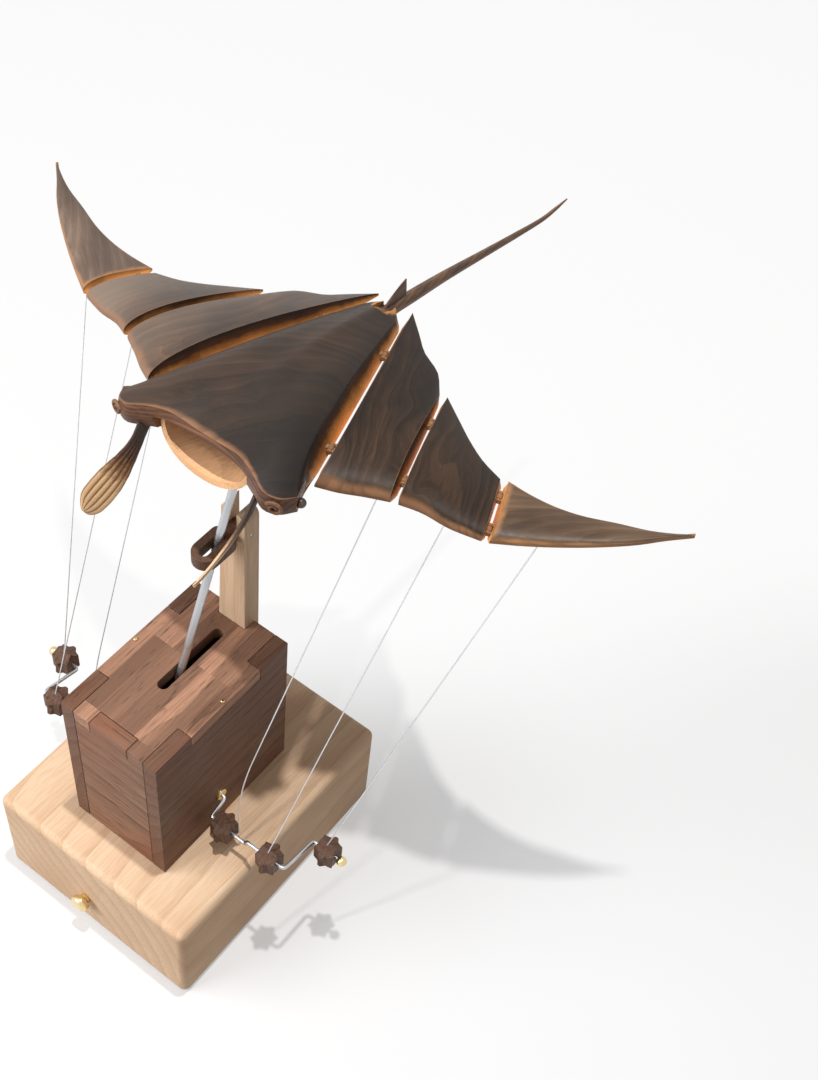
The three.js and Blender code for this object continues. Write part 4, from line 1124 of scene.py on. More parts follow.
class Seam:
    """The straight line that a pair of wing segments folds about."""

    def __init__(self, k):
        self.front = on_manta(FRONTS[k][0])
        self.along = on_manta(REARS[k][0]) - self.front
        self.axis = self.along.normalized()
        self.outwards = Vector((self.along.y, -self.along.x, 0)).normalized()
        self.hinges = [self.front + self.along * share for share in HINGE_SHARES]


SEAMS = [Seam(k) for k in range(3)]


def swell(share):
    return math.sin(math.pi * max(0.0, min(1.0, share)) ** 0.6) ** 0.8 if 0 < share < 1 else 0.0


def chord_share(i):
    """Places along a chord, closer together at both edges."""
    return (1 - math.cos(math.pi * i / CHORDS)) / 2


def seam_shift(k, bevel, sign, share):
    """How far a seam's face stands back from the seam's line, at its top and at its underside."""
    ends = (SEAM_END_GAP - SEAM_GAP) / 2 * max(0.0, 1 - min(share, 1 - share) / SEAM_END_SHARE)
    low = SEAM_GAP / 2 + ends
    high = SEAM_END_GAP / 2 + (bevel - SEAM_END_GAP / 2) * swell(share)
    return SEAMS[k].outwards * (sign * max(high, low)), SEAMS[k].outwards * (sign * low)


def wing_shift(k, share, t):
    """How far a place on a segment moves to make room for the seams at its two ends."""
    up, down = seam_shift(k, OUTER_BEVELS[k], 1, t)
    up, down = up * (1 - share), down * (1 - share)
    if k < 2:
        up_end, down_end = seam_shift(k + 1, INNER_BEVELS[k + 1], -1, t)
        up, down = up + up_end * share, down + down_end * share
    return up, down


def wing_ring(k, share):
    """Ring round a wing: over the top from front to rear, then back along the underside."""
    front, rear = FRONT_EDGES[k].at(share), REAR_EDGES[k].at(share)
    height = lerp(SEAM_HEIGHTS[k], SEAM_HEIGHTS[k + 1], share)
    depth = lerp(SEAM_DEPTHS[k], SEAM_DEPTHS[k + 1], share)
    top, bottom, top_map, bottom_map = [], [], [], []
    for i in range(CHORDS + 1):
        t = chord_share(i)
        middle = front.lerp(rear, t)
        up, down = wing_shift(k, share, t)
        top.append(middle + up + Vector((0, 0, RIM / 2 + height * swell(t))))
        bottom.append(middle + down - Vector((0, 0, RIM / 2 + depth * swell(t))))
        top_map.append((share, t))
        bottom_map.append((share, 0.5 if 0.1 < t < 0.9 else t))
    return top + bottom[::-1], top_map + bottom_map[::-1]


def body_ring(station):
    """Ring round the body from nose to rear, at a station from -1 at the left to 1 at the right."""
    s = abs(station)
    side = -1 if station < 0 else 1
    front = LIP_EDGE.at(s)
    line = SEAMS[0]
    corner = line.front + line.along * BODY_CORNER
    back_share = min(1.0, s / CORNER_STATION)
    if s < CORNER_STATION:
        seam_share = BODY_CORNER
        rear = on_manta(BODY_TIP).lerp(corner, back_share)
        rear_top = lerp(REAR_HEIGHT, SEAM_HEIGHTS[0] * swell(BODY_CORNER), back_share)
    else:
        seam_share = BODY_CORNER * (1 - s) / (1 - CORNER_STATION)
        rear = line.front + line.along * seam_share
        rear_top = SEAM_HEIGHTS[0] * swell(seam_share)
    front_top = NOSE_LIFT + HORN_LIFT * math.sin(math.pi * s) ** 2
    up, down = seam_shift(0, INNER_BEVELS[0], -1, seam_share)
    top, bottom, top_map, bottom_map = [], [], [], []
    for i in range(CHORDS + 1):
        t = chord_share(i)
        middle = front.lerp(rear, t)
        arch = 4 * t * (1 - t) * (1 - s)
        rise = RIM / 2 + lerp(front_top, rear_top, t) + CROWN * arch
        fall = RIM / 2 + lerp(CHIN, SEAM_DEPTHS[0], t) + BELLY * arch
        moved = back_share * t
        top.append(mirrored_vector(middle + up * moved + Vector((0, 0, rise)), side))
        bottom.append(mirrored_vector(middle + down * moved - Vector((0, 0, fall)), side))
        top_map.append(((station + 1) / 2, t))
        bottom_map.append(((station + 1) / 2, 0.5))
    roll, roll_map = [], []
    for i in range(1, LIP_STEPS):
        share = i / LIP_STEPS
        point = bottom[0].lerp(top[0], share)
        point.y -= LIP_ROLL * math.sin(math.pi * share)
        roll.append(point)
        roll_map.append(((station + 1) / 2, -share))
    return top + bottom[::-1] + roll, top_map + bottom_map[::-1] + roll_map


def pocket_cutters(seam, sign):
    """Round pockets for the hinges of one seam."""
    whole = KNUCKLE_LENGTH + 2 * (CHEEK_LENGTH + GLUE_GAP * 2)
    axis = mirrored_vector(SEAMS[seam].axis, sign)
    return [
        helper_cylinder(mirrored_vector(place, sign), axis, KNUCKLE_RADIUS + GLUE_GAP, whole)
        for place in SEAMS[seam].hinges
    ]


def hinge_leaves(seam, side, sign, inner_body, outer_body):
    """Knuckle and cheeks of each hinge, with the arms that hold them to their segments."""
    line = SEAMS[seam]
    axis = mirrored_vector(line.axis, sign)
    outwards = mirrored_vector(line.outwards, sign)
    cheek_place = KNUCKLE_LENGTH / 2 + GLUE_GAP + CHEEK_LENGTH / 2
    for end, place in zip(("front", "rear"), line.hinges):
        centre = mirrored_vector(place, sign)
        name = f"hinge_{side}_{SEGMENTS[seam]}_{end}"
        leaf(name + "_knuckle", centre, axis, -outwards, KNUCKLE_LENGTH, inner_body)
        for number, way in ((1, -1), (2, 1)):
            cheek_centre = centre + axis * (way * cheek_place)
            leaf(f"{name}_cheek_{number}", cheek_centre, axis, outwards, CHEEK_LENGTH, outer_body)


def leaf(name, centre, axis, reach_way, length, body):
    """One hinge knuckle or cheek: a short barrel with its arm."""
    upright = axis.cross(reach_way).normalized()
    turn = Matrix((axis, reach_way, upright)).transposed().to_4x4()
    bm = bmesh.new()
    bmesh.ops.create_cone(
        bm, cap_ends=True, segments=24, radius1=KNUCKLE_RADIUS, radius2=KNUCKLE_RADIUS,
        depth=length, matrix=Matrix.Rotation(QUARTER, 4, "Y"),
    )
    round_over(bm, sharp_edges(bm, 50), 0.3 * MM, 2)
    arm = bmesh.ops.create_cube(bm, size=1.0)["verts"]
    bmesh.ops.scale(bm, vec=(length * 0.96, ARM_LENGTH, KNUCKLE_RADIUS * 1.3), verts=arm)
    bmesh.ops.translate(bm, vec=(0, ARM_PLACE, 0), verts=arm)
    bmesh.ops.transform(bm, matrix=Matrix.Translation(centre) @ turn, verts=bm.verts)
    bmesh.ops.recalc_face_normals(bm, faces=bm.faces)
    thing = smooth_object(name, bm, "knuckle_wood")
    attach(thing, body)


def throw_point(x, length, degrees):
    """A point of the crankshaft's line: a throw's length away from its axis, at a phase."""
    angle = math.radians(degrees)
    return Vector((x, CRANK_Y + length * math.cos(angle), CRANK_Z + length * math.sin(angle)))


STAR_CENTRES = [throw_point(x, OUTER_THROW, p) for x, p in zip(STAR_X, STAR_PHASES)]


class AUTOMATON_OT_stage(bpy.types.Operator):
    """Pale floor, soft overhead light and the camera of the photograph"""

    bl_idname = "automaton.stage"
    bl_label = "Stage"

    def execute(self, context):
        camera_data = bpy.data.cameras.new("camera")
        camera_data.sensor_width = CAMERA_SENSOR
        camera_data.lens = CAMERA_LENS
        camera_data.clip_start = 0.01
        camera = in_scene("camera", camera_data)
        right = CAMERA_RIGHT.normalized()
        back = right.cross(CAMERA_UP).normalized()
        turn = Matrix((right, back.cross(right), back)).transposed().to_4x4()
        camera.matrix_world = Matrix.Translation(CAMERA_PLACE) @ turn
        context.scene.camera = camera

        bm = bmesh.new()
        bmesh.ops.create_grid(bm, x_segments=1, y_segments=1, size=FLOOR_HALF)
        floor = in_scene("floor", mesh_from("floor", bm))
        floor.data.materials.append(look("floor_paper"))

        for name, shape, size, power, place, aim, colour in LAMPS:
            data = bpy.data.lights.new(name, "AREA")
            data.shape = shape
            data.size = size
            data.energy = power
            data.color = colour
            lamp = in_scene(name, data)
            lamp.location = place
            lamp.rotation_euler = (Vector(aim) - Vector(place)).to_track_quat("-Z", "Y").to_euler()

        world = bpy.data.worlds.new("studio")
        context.scene.world = world
        world.use_nodes = True
        n = Nodes(world.node_tree)
        background = world.node_tree.nodes["Background"]
        n.feed(background, "Color", (1.0, 0.99, 0.975, 1))
        n.feed(background, "Strength", n.smooth(camera_sees(n), 0.0, 1.0, 0.28, 0.95))
        context.scene.view_settings.view_transform = "Standard"
        return {"FINISHED"}


class AUTOMATON_OT_base(bpy.types.Operator):
    """Maple block base with rounded edges, and the brass knob on its front"""

    bl_idname = "automaton.base"
    bl_label = "Base and knob"

    def execute(self, context):
        low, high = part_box("base")
        axle_low, axle_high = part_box("knob_spindle")
        bm = block_mesh(high - low, (low + high) / 2)
        round_over(bm, bm.edges[:], BASE_ROUNDING, 6)
        block = piece("base_block", bm, "maple_base", "base")
        hole = (axle_low + axle_high) / 2
        hole.y = (axle_high.y + low.y) / 2
        depth = axle_high.y - low.y + HOLE_OVERRUN
        well = block_mesh(WELL_SIZE, (0, CRANK_Y, high.z + WELL_RISE))
        cut(block, [
            helper_object(well), helper_cylinder(hole, (0, 1, 0), AXLE_HOLE_RADIUS, depth),
        ])
        keep_faces_flat(block)
        self.knob(axle_low, axle_high)
        return {"FINISHED"}

    @staticmethod
    def knob(axle_low, axle_high):
        low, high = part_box("base_knob")
        centre = (low + high) / 2
        length = high.y - low.y
        radius = (high.x - low.x) / 2
        outline = (
            (0, 1), (0.55, 1), (0.78, 0.97), (0.93, 0.88), (1, 0.72), (1, 0.5), (0.94, 0.36),
            (0.72, 0.26), (0.6, 0.18), (0.6, 0),
        )
        profile = [(radius * wide, length * along) for wide, along in outline]
        profile += [(KNOB_BORE_RADIUS, 0), (KNOB_BORE_RADIUS, length * 0.5), (0, length * 0.5)]
        turned(
            "knob", profile, (centre.x, high.y, centre.z), (centre.x, low.y, centre.z), "brass",
            "base_knob", steps=48,
        )
        x = (axle_low.x + axle_high.x) / 2
        pin(
            "knob_axle", (x, axle_low.y, centre.z), (x, axle_high.y, centre.z), KNOB_AXLE_RADIUS,
            "steel", "knob_spindle",
        )


class AUTOMATON_OT_box(bpy.types.Operator):
    """Walnut box: finger jointed boards, the slotted top, brass pins and bushes"""

    bl_idname = "automaton.box"
    bl_label = "Crank box"

    def execute(self, context):
        for side, sign in SIDES:
            # Both side boards take the walnut darkened as painted shade
            eased("box_side_" + side, "walnut_shaded_sides")
            node = "top_pin_" + side
            low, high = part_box(node)
            middle = (low + high) / 2
            pin(
                "board_pin_" + side, (middle.x, middle.y, low.z), (middle.x, middle.y, high.z),
                (high.x - low.x) / 2, "brass", node, chamfer=0.35 * MM,
            )
            self.bush(side, sign)
        eased("box_front", "walnut_front")
        eased("box_back", "walnut_front")
        eased("box_top", "walnut_top")
        return {"FINISHED"}

    @staticmethod
    def bush(side, sign, chamfer=0.3 * MM, bore_chamfer=0.2 * MM):
        low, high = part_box("bush_" + side)
        length = high.x - low.x
        radius = (high.z - low.z) / 2
        bore = BUSH_BORE_RADIUS
        profile = [
            (bore, 0), (radius - chamfer, 0), (radius, chamfer), (radius, length - chamfer),
            (radius - chamfer, length), (bore + bore_chamfer, length),
            (bore, length - bore_chamfer), (bore, 0),
        ]
        start, end = (low.x, high.x) if sign > 0 else (high.x, low.x)
        turned(
            "side_bush_" + side, profile, (start, CRANK_Y, CRANK_Z), (end, CRANK_Y, CRANK_Z),
            "brass", "bush_" + side,
        )


class AUTOMATON_OT_post(bpy.types.Operator):
    """Maple post with its forked head, the walnut guide link on its pin, and the lift rod"""

    bl_idname = "automaton.post"
    bl_label = "Post, guide link and lift rod"

    def execute(self, context):
        eased("post", "maple_post", radius=1 * MM, segments=4)
        eased("guide_link", "walnut_small", radius=0.8 * MM)
        boxed_pin("link_axle", "link_pin", LINK_PIN_RADIUS, "steel")
        low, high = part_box("lift_rod")
        inset = Vector((0, ROD_ALONG.z, ROD_ALONG.y)) * ROD_RADIUS
        start = Vector((0, low.y, low.z)) + inset
        end = Vector((0, high.y, high.z)) - inset
        length = (end - start).dot(ROD_ALONG)
        pin(
            "rod", start, start + ROD_ALONG * length, ROD_RADIUS, "steel", "lift_rod",
            chamfer=0.5 * MM, steps=40,
        )
        return {"FINISHED"}


class AUTOMATON_OT_crank(bpy.types.Operator):
    """The bent steel crankshaft with its brass balls, star blocks and rod block"""

    bl_idname = "automaton.crank"
    bl_label = "Crankshaft"

    def execute(self, context):
        end_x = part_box("crankshaft")[1].x
        corners = self.corners(end_x)
        points = rounded_path([mirrored_vector(p, -1) for p in reversed(corners)] + corners, CRANK_BEND)
        piece("crank_rod", rod_mesh(points, [CRANK_RADIUS] * len(points), 20), "steel", "crankshaft")
        for side, sign in SIDES:
            self.ball(side, sign, end_x)
            for k in range(3):
                eased(f"star_block_{side}_{k + 1}", "walnut_small", radius=0.8 * MM)
        eased("crank_block", "walnut_small", radius=0.4 * MM, segments=2)
        return {"FINISHED"}

    @staticmethod
    def corners(end_x):
        """Corners of the bent rod's right half, from the middle throw outwards."""
        webs = [
            STAR_X[0] - STAR_TO_WEB - CRANK_RADIUS, (STAR_X[0] + STAR_X[1]) / 2,
            (STAR_X[1] + STAR_X[2]) / 2, end_x,
        ]
        corners = [
            throw_point(CENTRAL_HALF_WIDTH, CENTRAL_THROW, CENTRAL_PHASE),
            throw_point(CENTRAL_HALF_WIDTH, 0, 0), throw_point(webs[0], 0, 0),
        ]
        for phase, inner, outer in zip(STAR_PHASES, webs, webs[1:]):
            corners += [throw_point(x, OUTER_THROW, phase) for x in (inner, outer)]
        return corners

    @staticmethod
    def ball(side, sign, end_x):
        """A ball with a flat where the rod goes into it"""
        node = "crank_ball_" + side
        low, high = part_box(node)
        centre = Vector((sign * end_x, (low.y + high.y) / 2, (low.z + high.z) / 2))
        bm = bmesh.new()
        bmesh.ops.create_uvsphere(bm, u_segments=40, v_segments=24, radius=(high.z - low.z) / 2)
        bmesh.ops.transform(bm, matrix=Matrix.Rotation(QUARTER, 4, "Y"), verts=bm.verts)
        bmesh.ops.translate(bm, vec=centre, verts=bm.verts)
        for vert in bm.verts:
            if sign * (vert.co.x - centre.x) < -BALL_FLAT_FROM:
                vert.co.x = centre.x - sign * BALL_FLAT
        piece("ball_" + side, bm, "brass", node)


class AUTOMATON_OT_body(bpy.types.Operator):
    """The manta's body with its open mouth, lower jaw and eyes"""

    bl_idname = "automaton.body"
    bl_label = "Manta body"

    def execute(self, context):
        half = BODY_STATIONS // 2
        rings, maps = zip(*(body_ring(i / half) for i in range(-half, half + 1)))
        depths = [0] * (CHORDS + 1) + [1] * (CHORDS + LIP_STEPS)
        bm = lofted(rings, maps, cap_index=1, depths=depths)
        shape_map = bm.loops.layers.uv["shape"]
        for face in bm.faces:
            places = [loop[shape_map].uv.y for loop in face.loops]
            rear_wall = max(places) > 0.999 and min(places) == 0.5
            if min(places) < 0:
                face.material_index = 2
            elif rear_wall and abs(face.calc_center_median().x) > REAR_WALL_FROM:
                face.material_index = 1
        materials = ("manta_body", "toasted", "lip_wood")
        cut_piece("body", bm, materials, "manta_body", self.cutters())
        mouth = helper_object(jaw_form(-JAW_WALL, JAW_CUT_START, JAW_LIFT))
        cut_piece("jaw", jaw_form(0), ("jaw_wood",), "lower_jaw", [mouth])
        for side, sign in SIDES:
            self.eye(side, sign)
        for side, sign in SIDES:
            self.curl(side, sign)
        return {"FINISHED"}

    @staticmethod
    def cutters():
        """The mouth, the tail's notch and hollow, the rod's hole and the pockets of the hinges"""
        tail_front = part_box("tail")[0].y - GLUE_GAP
        notch = block_mesh(NOTCH_SIZE, (0, tail_front + NOTCH_SIZE.y / 2, NOTCH_LEVEL))
        hollow = bmesh.new()
        bmesh.ops.create_uvsphere(hollow, u_segments=32, v_segments=20, radius=HOLLOW_RADIUS)
        bmesh.ops.scale(hollow, vec=(1, HOLLOW_STRETCH, 1), verts=hollow.verts)
        for face in hollow.faces:
            face.material_index = 1
        bmesh.ops.translate(hollow, vec=HOLLOW_PLACE, verts=hollow.verts)
        rod_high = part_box("lift_rod")[1]
        hole = Vector((0, rod_high.y - ROD_TOP_INSET, rod_high.z)) - ROD_ALONG * ROD_HOLE_DOWN
        cutters = [helper_object(bm) for bm in (jaw_form(GLUE_GAP, JAW_CUT_START), notch, hollow)]
        cutters.append(helper_cylinder(hole, ROD_ALONG, ROD_HOLE_RADIUS, ROD_HOLE_LENGTH))
        for _, sign in SIDES:
            cutters += pocket_cutters(0, sign)
        return cutters

    @staticmethod
    def eye(side, sign):
        node = "eye_" + side
        low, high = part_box(node)
        radius = (high.z - low.z) / 2 * EYE_SHARE
        bm = bmesh.new()
        bmesh.ops.create_uvsphere(bm, u_segments=32, v_segments=20, radius=radius)
        centre = (low + high) / 2 - Vector((sign * EYE_INSET, 0, 0))
        bmesh.ops.translate(bm, vec=centre, verts=bm.verts)
        piece("bead_" + side, bm, "bead_" + side, node)

    @staticmethod
    def curl(side, sign):
        """The carved scroll on the lip's front at a corner of the mouth"""
        centre = LIP_EDGE.at(CURL_SHARE) + CURL_OFFSET
        points, radii = [], []
        for i in range(CURL_STEPS + 1):
            t = i / CURL_STEPS
            reach = lerp(*CURL_REACH, t)
            angle = math.radians(lerp(*CURL_TURN, t))
            way = Vector((math.cos(angle), 0.35 * math.cos(angle), math.sin(angle)))
            points.append(mirrored_vector(centre + way * reach, sign))
            radii.append(lerp(*CURL_RADII, t))
        thing = smooth_object("lip_curl_" + side, rod_mesh(points, radii, 12), "curl_wood")
        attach(thing, body_of("manta_body"))


def jaw_form(grow, start=None, lift=0.0):
    """The scoop of the lower jaw, full width at the front and closed at the back."""
    rings = []
    for share in JAW_SHARES:
        narrow = math.sqrt(max(1 - share ** 2.4, 0.02))
        ring = []
        for k in range(JAW_SIDES + 1):
            angle = math.pi * k / JAW_SIDES
            fall = math.sin(angle) ** 0.85 if 0 < k < JAW_SIDES else 0.0
            ring.append(Vector((
                (JAW_HALF_WIDTH + grow) * narrow * math.cos(angle),
                JAW_FRONT + (JAW_LENGTH + grow) * share - JAW_JUT * fall * (1 - share),
                JAW_ROOF + lift - (JAW_DEPTH + grow) * narrow * fall,
            )))
        rings.append(ring)
    if start is not None:
        rings.insert(0, [Vector((p.x, start, p.z)) for p in rings[0]])
    return lofted(rings)


class AUTOMATON_OT_wings(bpy.types.Operator):
    """Three hinged segments a side, with their knuckles and pins"""

    bl_idname = "automaton.wings"
    bl_label = "Wings"

    def execute(self, context):
        for side, sign in SIDES:
            inner_body = body_of("manta_body")
            for k, segment in enumerate(SEGMENTS):
                node = f"wing_{side}_{segment}"
                self.segment(side, sign, k, node)
                hinge_leaves(k, side, sign, inner_body, body_of(node))
                self.pins(side, sign, k)
                inner_body = body_of(node)
        return {"FINISHED"}

    @staticmethod
    def segment(side, sign, k, node):
        rings, maps = zip(*(wing_ring(k, i / STATIONS[k]) for i in range(STATIONS[k] + 1)))
        rings = [[mirrored_vector(p, sign) for p in ring] for ring in rings]
        bm = lofted(rings, maps, cap_index=1, depths=[0] * (CHORDS + 1) + [1] * (CHORDS + 1))
        seams = (k, k + 1) if k < 2 else (k,)
        cutters = [cutter for seam in seams for cutter in pocket_cutters(seam, sign)]
        seam_face = ("toasted", "toasted_middle", "toasted_pale")[k]
        cut_piece(f"segment_{side}_{SEGMENTS[k]}", bm, (node, seam_face), node, cutters)

    @staticmethod
    def pins(side, sign, k):
        reach = SEAMS[k].axis * (KNUCKLE_LENGTH / 2 + CHEEK_LENGTH + GLUE_GAP)
        for end, place in zip(("front", "rear"), SEAMS[k].hinges):
            name = f"pin_{side}_{SEGMENTS[k]}_{end}"
            start, stop = mirrored_vector(place - reach, sign), mirrored_vector(place + reach, sign)
            pin("seam_" + name, start, stop, SEAM_PIN_RADIUS, "brass", "hinge_" + name)


class AUTOMATON_OT_head_fins(bpy.types.Operator):
    """The two grooved fins at the corners of the mouth"""

    bl_idname = "automaton.head_fins"
    bl_label = "Head fins"

    def execute(self, context):
        route = Edge([
            HEAD_FIN_ROOT + Vector((0, -reach * HEAD_FIN_REACH, fall * HEAD_FIN_FALL))
            for reach, fall in HEAD_FIN_LINE
        ])
        for side, sign in SIDES:
            rings, maps = zip(*(
                self.ring(route, 1 - (1 - i / HEAD_FIN_STEPS) ** 1.7, sign)
                for i in range(HEAD_FIN_STEPS + 1)
            ))
            piece("mouth_fin_" + side, lofted(rings, maps), "head_fin", "head_fin_" + side, angle=60)
        return {"FINISHED"}

    def ring(self, route, along, sign):
        """Ring round a fin at a share of its length, with a groove pressed into both faces"""
        point = route.at(along)
        tangent = (route.at(min(1, along + 0.02)) - route.at(max(0, along - 0.02))).normalized()
        face = Vector((math.cos(HEAD_FIN_LEAN), 0, -math.sin(HEAD_FIN_LEAN)))
        face = (face - tangent * face.dot(tangent)).normalized()
        across = tangent.cross(face)
        wide = HEAD_FIN_HALF_WIDTH * self.width_at(along)
        thick = HEAD_FIN_HALF_THICKNESS * (1 - along / 2)
        ring, row = [], []
        for k in range(HEAD_FIN_SIDES):
            angle = 2 * math.pi * k / HEAD_FIN_SIDES
            side_share = math.cos(angle)
            groove = 0.22 * (0.5 - 0.5 * math.cos(side_share * math.pi * HEAD_FIN_GROOVES))
            groove *= (1 - abs(side_share) ** 6) * min(1, along * 3) * min(1, (1 - along) * 5)
            depth = thick * math.sin(angle) * (1 - groove * 2.4)
            ring.append(mirrored_vector(point + across * (wide * side_share) + face * depth, sign))
            row.append((along, abs(side_share)))
        return ring, row

    @staticmethod
    def width_at(along):
        place = along * (len(HEAD_FIN_WIDTHS) - 1)
        i = min(int(place), len(HEAD_FIN_WIDTHS) - 2)
        t = place - i
        t = t * t * (3 - 2 * t) * 0.5 + t * 0.5
        end = max(0.0, (along - 0.84) / 0.16)
        width = lerp(HEAD_FIN_WIDTHS[i], HEAD_FIN_WIDTHS[i + 1], t)
        return width * math.sqrt(max(0.01, 1 - end * end))


def tail_place(back, up):
    """A point in the tail's upright plane, in mm behind its root and above its level."""
    return Vector((0, TAIL_START + back * MM, TAIL_LEVEL + up * MM))


class AUTOMATON_OT_tail(bpy.types.Operator):
    """The tapering tail with its upright fin, on its pin"""

    bl_idname = "automaton.tail"
    bl_label = "Tail"

    def execute(self, context):
        # The line's x holds the share of the tail's full width, times a millimetre
        line = Edge([
            Vector((width * MM, lerp(TAIL_START, TAIL_END, place), TAIL_LEVEL - TAIL_DROP * fall))
            for place, fall, width in TAIL_LINE
        ])
        rings, maps = zip(*(self.ring(line, i) for i in range(TAIL_STEPS + 1)))
        piece("tail_whip", lofted(rings, maps), "tail", "tail")
        boxed_pin("tail_axle", "tail_pin", 1 * MM, "steel")
        root = bmesh.new()
        bmesh.ops.create_cone(
            root, cap_ends=True, segments=40, radius1=TAIL_RADIUS, radius2=TAIL_RADIUS,
            depth=TAIL_ROOT_WIDTH,
            matrix=Matrix.Translation(tail_place(0, 0)) @ Matrix.Rotation(QUARTER, 4, "Y"),
        )
        round_over(root, sharp_edges(root, 50), 0.5 * MM, 3)
        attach(smooth_object("tail_root", root, "tail"), body_of("tail"))
        self.fin()
        return {"FINISHED"}

    @staticmethod
    def ring(line, i):
        spot = line.at(i / TAIL_STEPS)
        ahead = line.at(min(1, (i + 1) / TAIL_STEPS))
        behind = line.at(max(0, (i - 1) / TAIL_STEPS))
        tangent = Vector((0, ahead.y - behind.y, ahead.z - behind.z)).normalized()
        upright = Vector((0, -tangent.z, tangent.y))
        radius = TAIL_RADIUS * spot.x / MM
        ring, row = [], []
        for k in range(TAIL_SIDES):
            angle = 2 * math.pi * k / TAIL_SIDES
            middle = Vector((radius * math.cos(angle), spot.y, spot.z))
            ring.append(middle + upright * (radius * math.sin(angle)))
            row.append((i / TAIL_STEPS, abs(math.cos(angle))))
        return ring, row

    @staticmethod
    def fin():
        top_line = Edge([tail_place(*spot) for spot in TAIL_FIN_TOP])
        low_line = Edge([tail_place(*spot) for spot in TAIL_FIN_UNDERSIDE])
        rings, maps = [], []
        for i in range(TAIL_FIN_STEPS + 1):
            t = i / TAIL_FIN_STEPS
            top, bottom = top_line.at(t), low_line.at(t)
            ring, row = [], []
            for k in range(TAIL_FIN_SIDES):
                angle = 2 * math.pi * k / TAIL_FIN_SIDES
                share = (1 - math.cos(angle)) / 2
                middle = bottom.lerp(top, share)
                round_share = math.copysign(abs(math.sin(angle)) ** 0.7, math.sin(angle))
                half = TAIL_FIN_HALF_THICKNESS * (1 - 0.6 * t) * round_share
                ring.append(Vector((half, middle.y, middle.z)))
                row.append((t, 0.5 if share < 0.8 else 0.95))
            rings.append(ring)
            maps.append(row)
        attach(smooth_object("tail_fin", lofted(rings, maps), "tail", angle=50), body_of("tail"))


def wire_route(k):
    """Points of one right-hand wire from its star block to the underside of its segment."""
    share, t = WIRE_PLACES[k]
    head = FRONT_EDGES[k].at(share).lerp(REAR_EDGES[k].at(share), t)
    depth = lerp(SEAM_DEPTHS[k], SEAM_DEPTHS[k + 1], share)
    head.z -= RIM / 2 + depth * swell(t) + WIRE_HEAD_GAP
    if k:
        # From inside the block, out through its top point
        top = STAR_CENTRES[k] + Vector((0, 0, STAR_TOP))
        return [top + (top - head).normalized() * WIRE_SUNK, head]
    foot = STAR_CENTRES[k] + WIRE_FOOT
    return rounded_path([foot, foot + Vector((0, 0, WIRE_RISE)), head], WIRE_BEND, steps=16)


def spaced(points, count):
    """The same line with its points at equal distances."""
    total = [0.0]
    for a, b in zip(points, points[1:]):
        total.append(total[-1] + (b - a).length)
    made = []
    for i in range(count + 1):
        wanted = total[-1] * i / count
        k = max(j for j in range(len(points) - 1) if total[j] <= wanted)
        made.append(points[k].lerp(points[k + 1], (wanted - total[k]) / (total[k + 1] - total[k])))
    return made


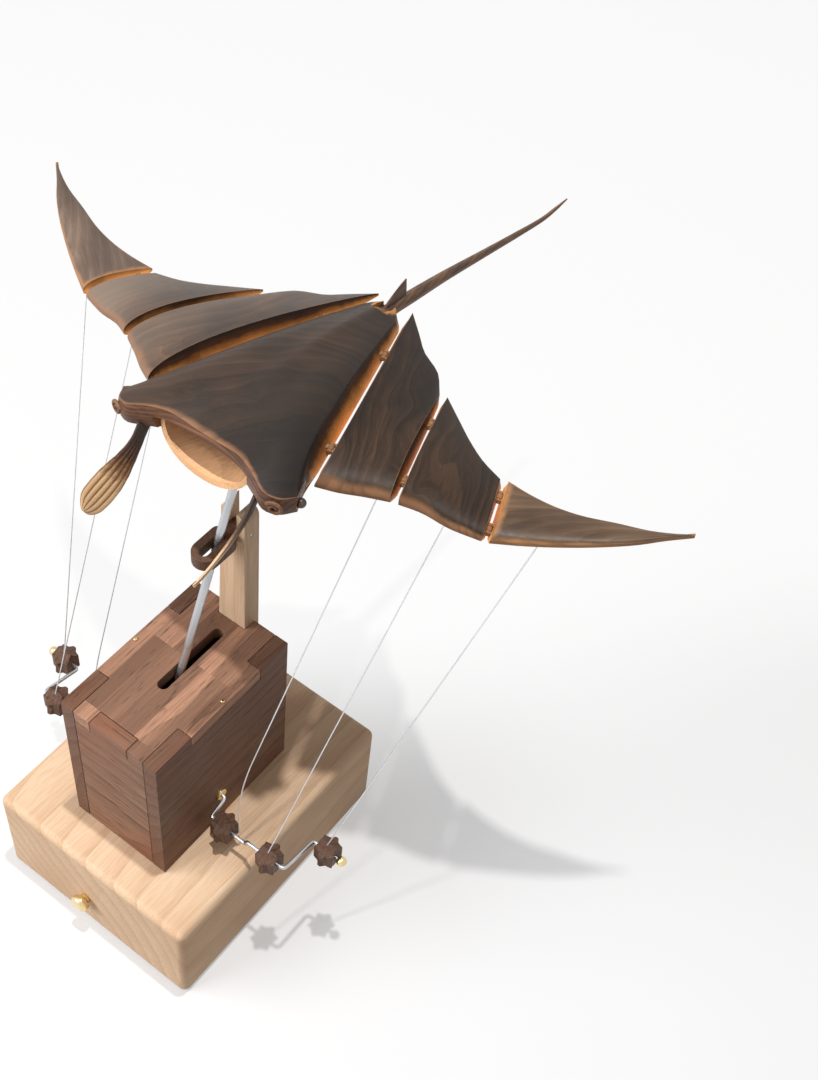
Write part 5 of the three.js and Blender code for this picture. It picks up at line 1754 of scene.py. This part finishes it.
class AUTOMATON_OT_wires(bpy.types.Operator):
    """Steel wires from the star blocks to the wing segments"""

    bl_idname = "automaton.wires"
    bl_label = "Wires"

    def execute(self, context):
        for side, sign in SIDES:
            for k in range(3):
                self.wire(side, sign, k)
        return {"FINISHED"}

    @staticmethod
    def lengths(side, k):
        """The lengths a wire is made in: two bodies of one joint and shares of the wire"""
        low = 0.2 if k else 0.12
        chain = [
            ("crank", "stand", 0.0, low), ("stand", "link", low, 0.55), ("link", "manta", 0.55, 0.8),
        ]
        inner = "manta"
        step = 0.2 / (k + 1)
        for j in range(k + 1):
            outer = f"wing_{side}_{SEGMENTS[j]}"
            chain.append((inner, outer, 0.8 + step * j, 0.8 + step * (j + 1)))
            inner = outer
        return chain

    def wire(self, side, sign, k):
        radius = bpy.context.scene.automaton.wire_radius
        node = f"wire_{side}_{k + 1}"
        points = [mirrored_vector(p, sign) for p in spaced(wire_route(k), WIRE_STEPS)]
        for number, (a, b, begin, end) in enumerate(self.lengths(side, k), 1):
            part = points[int(round(begin * WIRE_STEPS)):int(round(end * WIRE_STEPS)) + 1]
            bm = rod_mesh(part, [radius] * len(part), 12)
            thing = smooth_object(f"line_{side}_{k + 1}_{number}", bm, "wire_steel")
            stands_for(node)
            start, stop = part[0], part[-1]
            # The crank turns over and the block stays upright. For the lowest length of the wires to
            # the middle and outer blocks, a start further along the line below the wire's foot is
            # worked out, but nothing uses it.
            if k and number == 1:
                start = start + (start - stop).normalized() * WIRE_LEAD
            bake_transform(thing)


class AUTOMATON_PT_panel(bpy.types.Panel):
    """Lists the steps that build the automaton"""

    bl_label = "Automaton"
    bl_idname = "AUTOMATON_PT_panel"
    bl_space_type = "VIEW_3D"
    bl_region_type = "UI"
    bl_category = "Automaton"

    def draw(self, context):
        for operator in STEPS:
            self.layout.operator(operator.bl_idname)
        for name in AutomatonSettings.__annotations__:
            self.layout.prop(context.scene.automaton, name)


STEPS = (
    AUTOMATON_OT_stage,
    AUTOMATON_OT_base,
    AUTOMATON_OT_box,
    AUTOMATON_OT_post,
    AUTOMATON_OT_crank,
    AUTOMATON_OT_body,
    AUTOMATON_OT_wings,
    AUTOMATON_OT_head_fins,
    AUTOMATON_OT_tail,
    AUTOMATON_OT_wires,
)


def register():
    bpy.utils.register_class(AutomatonSettings)
    for cls in STEPS:
        bpy.utils.register_class(cls)
    bpy.utils.register_class(AUTOMATON_PT_panel)
    bpy.types.Scene.automaton = PointerProperty(type=AutomatonSettings)


def unregister():
    del bpy.types.Scene.automaton
    bpy.utils.unregister_class(AUTOMATON_PT_panel)
    for cls in reversed(STEPS):
        bpy.utils.unregister_class(cls)
    bpy.utils.unregister_class(AutomatonSettings)


def main():
    register()
    for operator in STEPS:
        group, name = operator.bl_idname.split(".")
        result = getattr(getattr(bpy.ops, group), name)()
        if result != {"FINISHED"}:
            raise RuntimeError(operator.bl_idname + " did not finish")


if __name__ == "__main__":
    main()
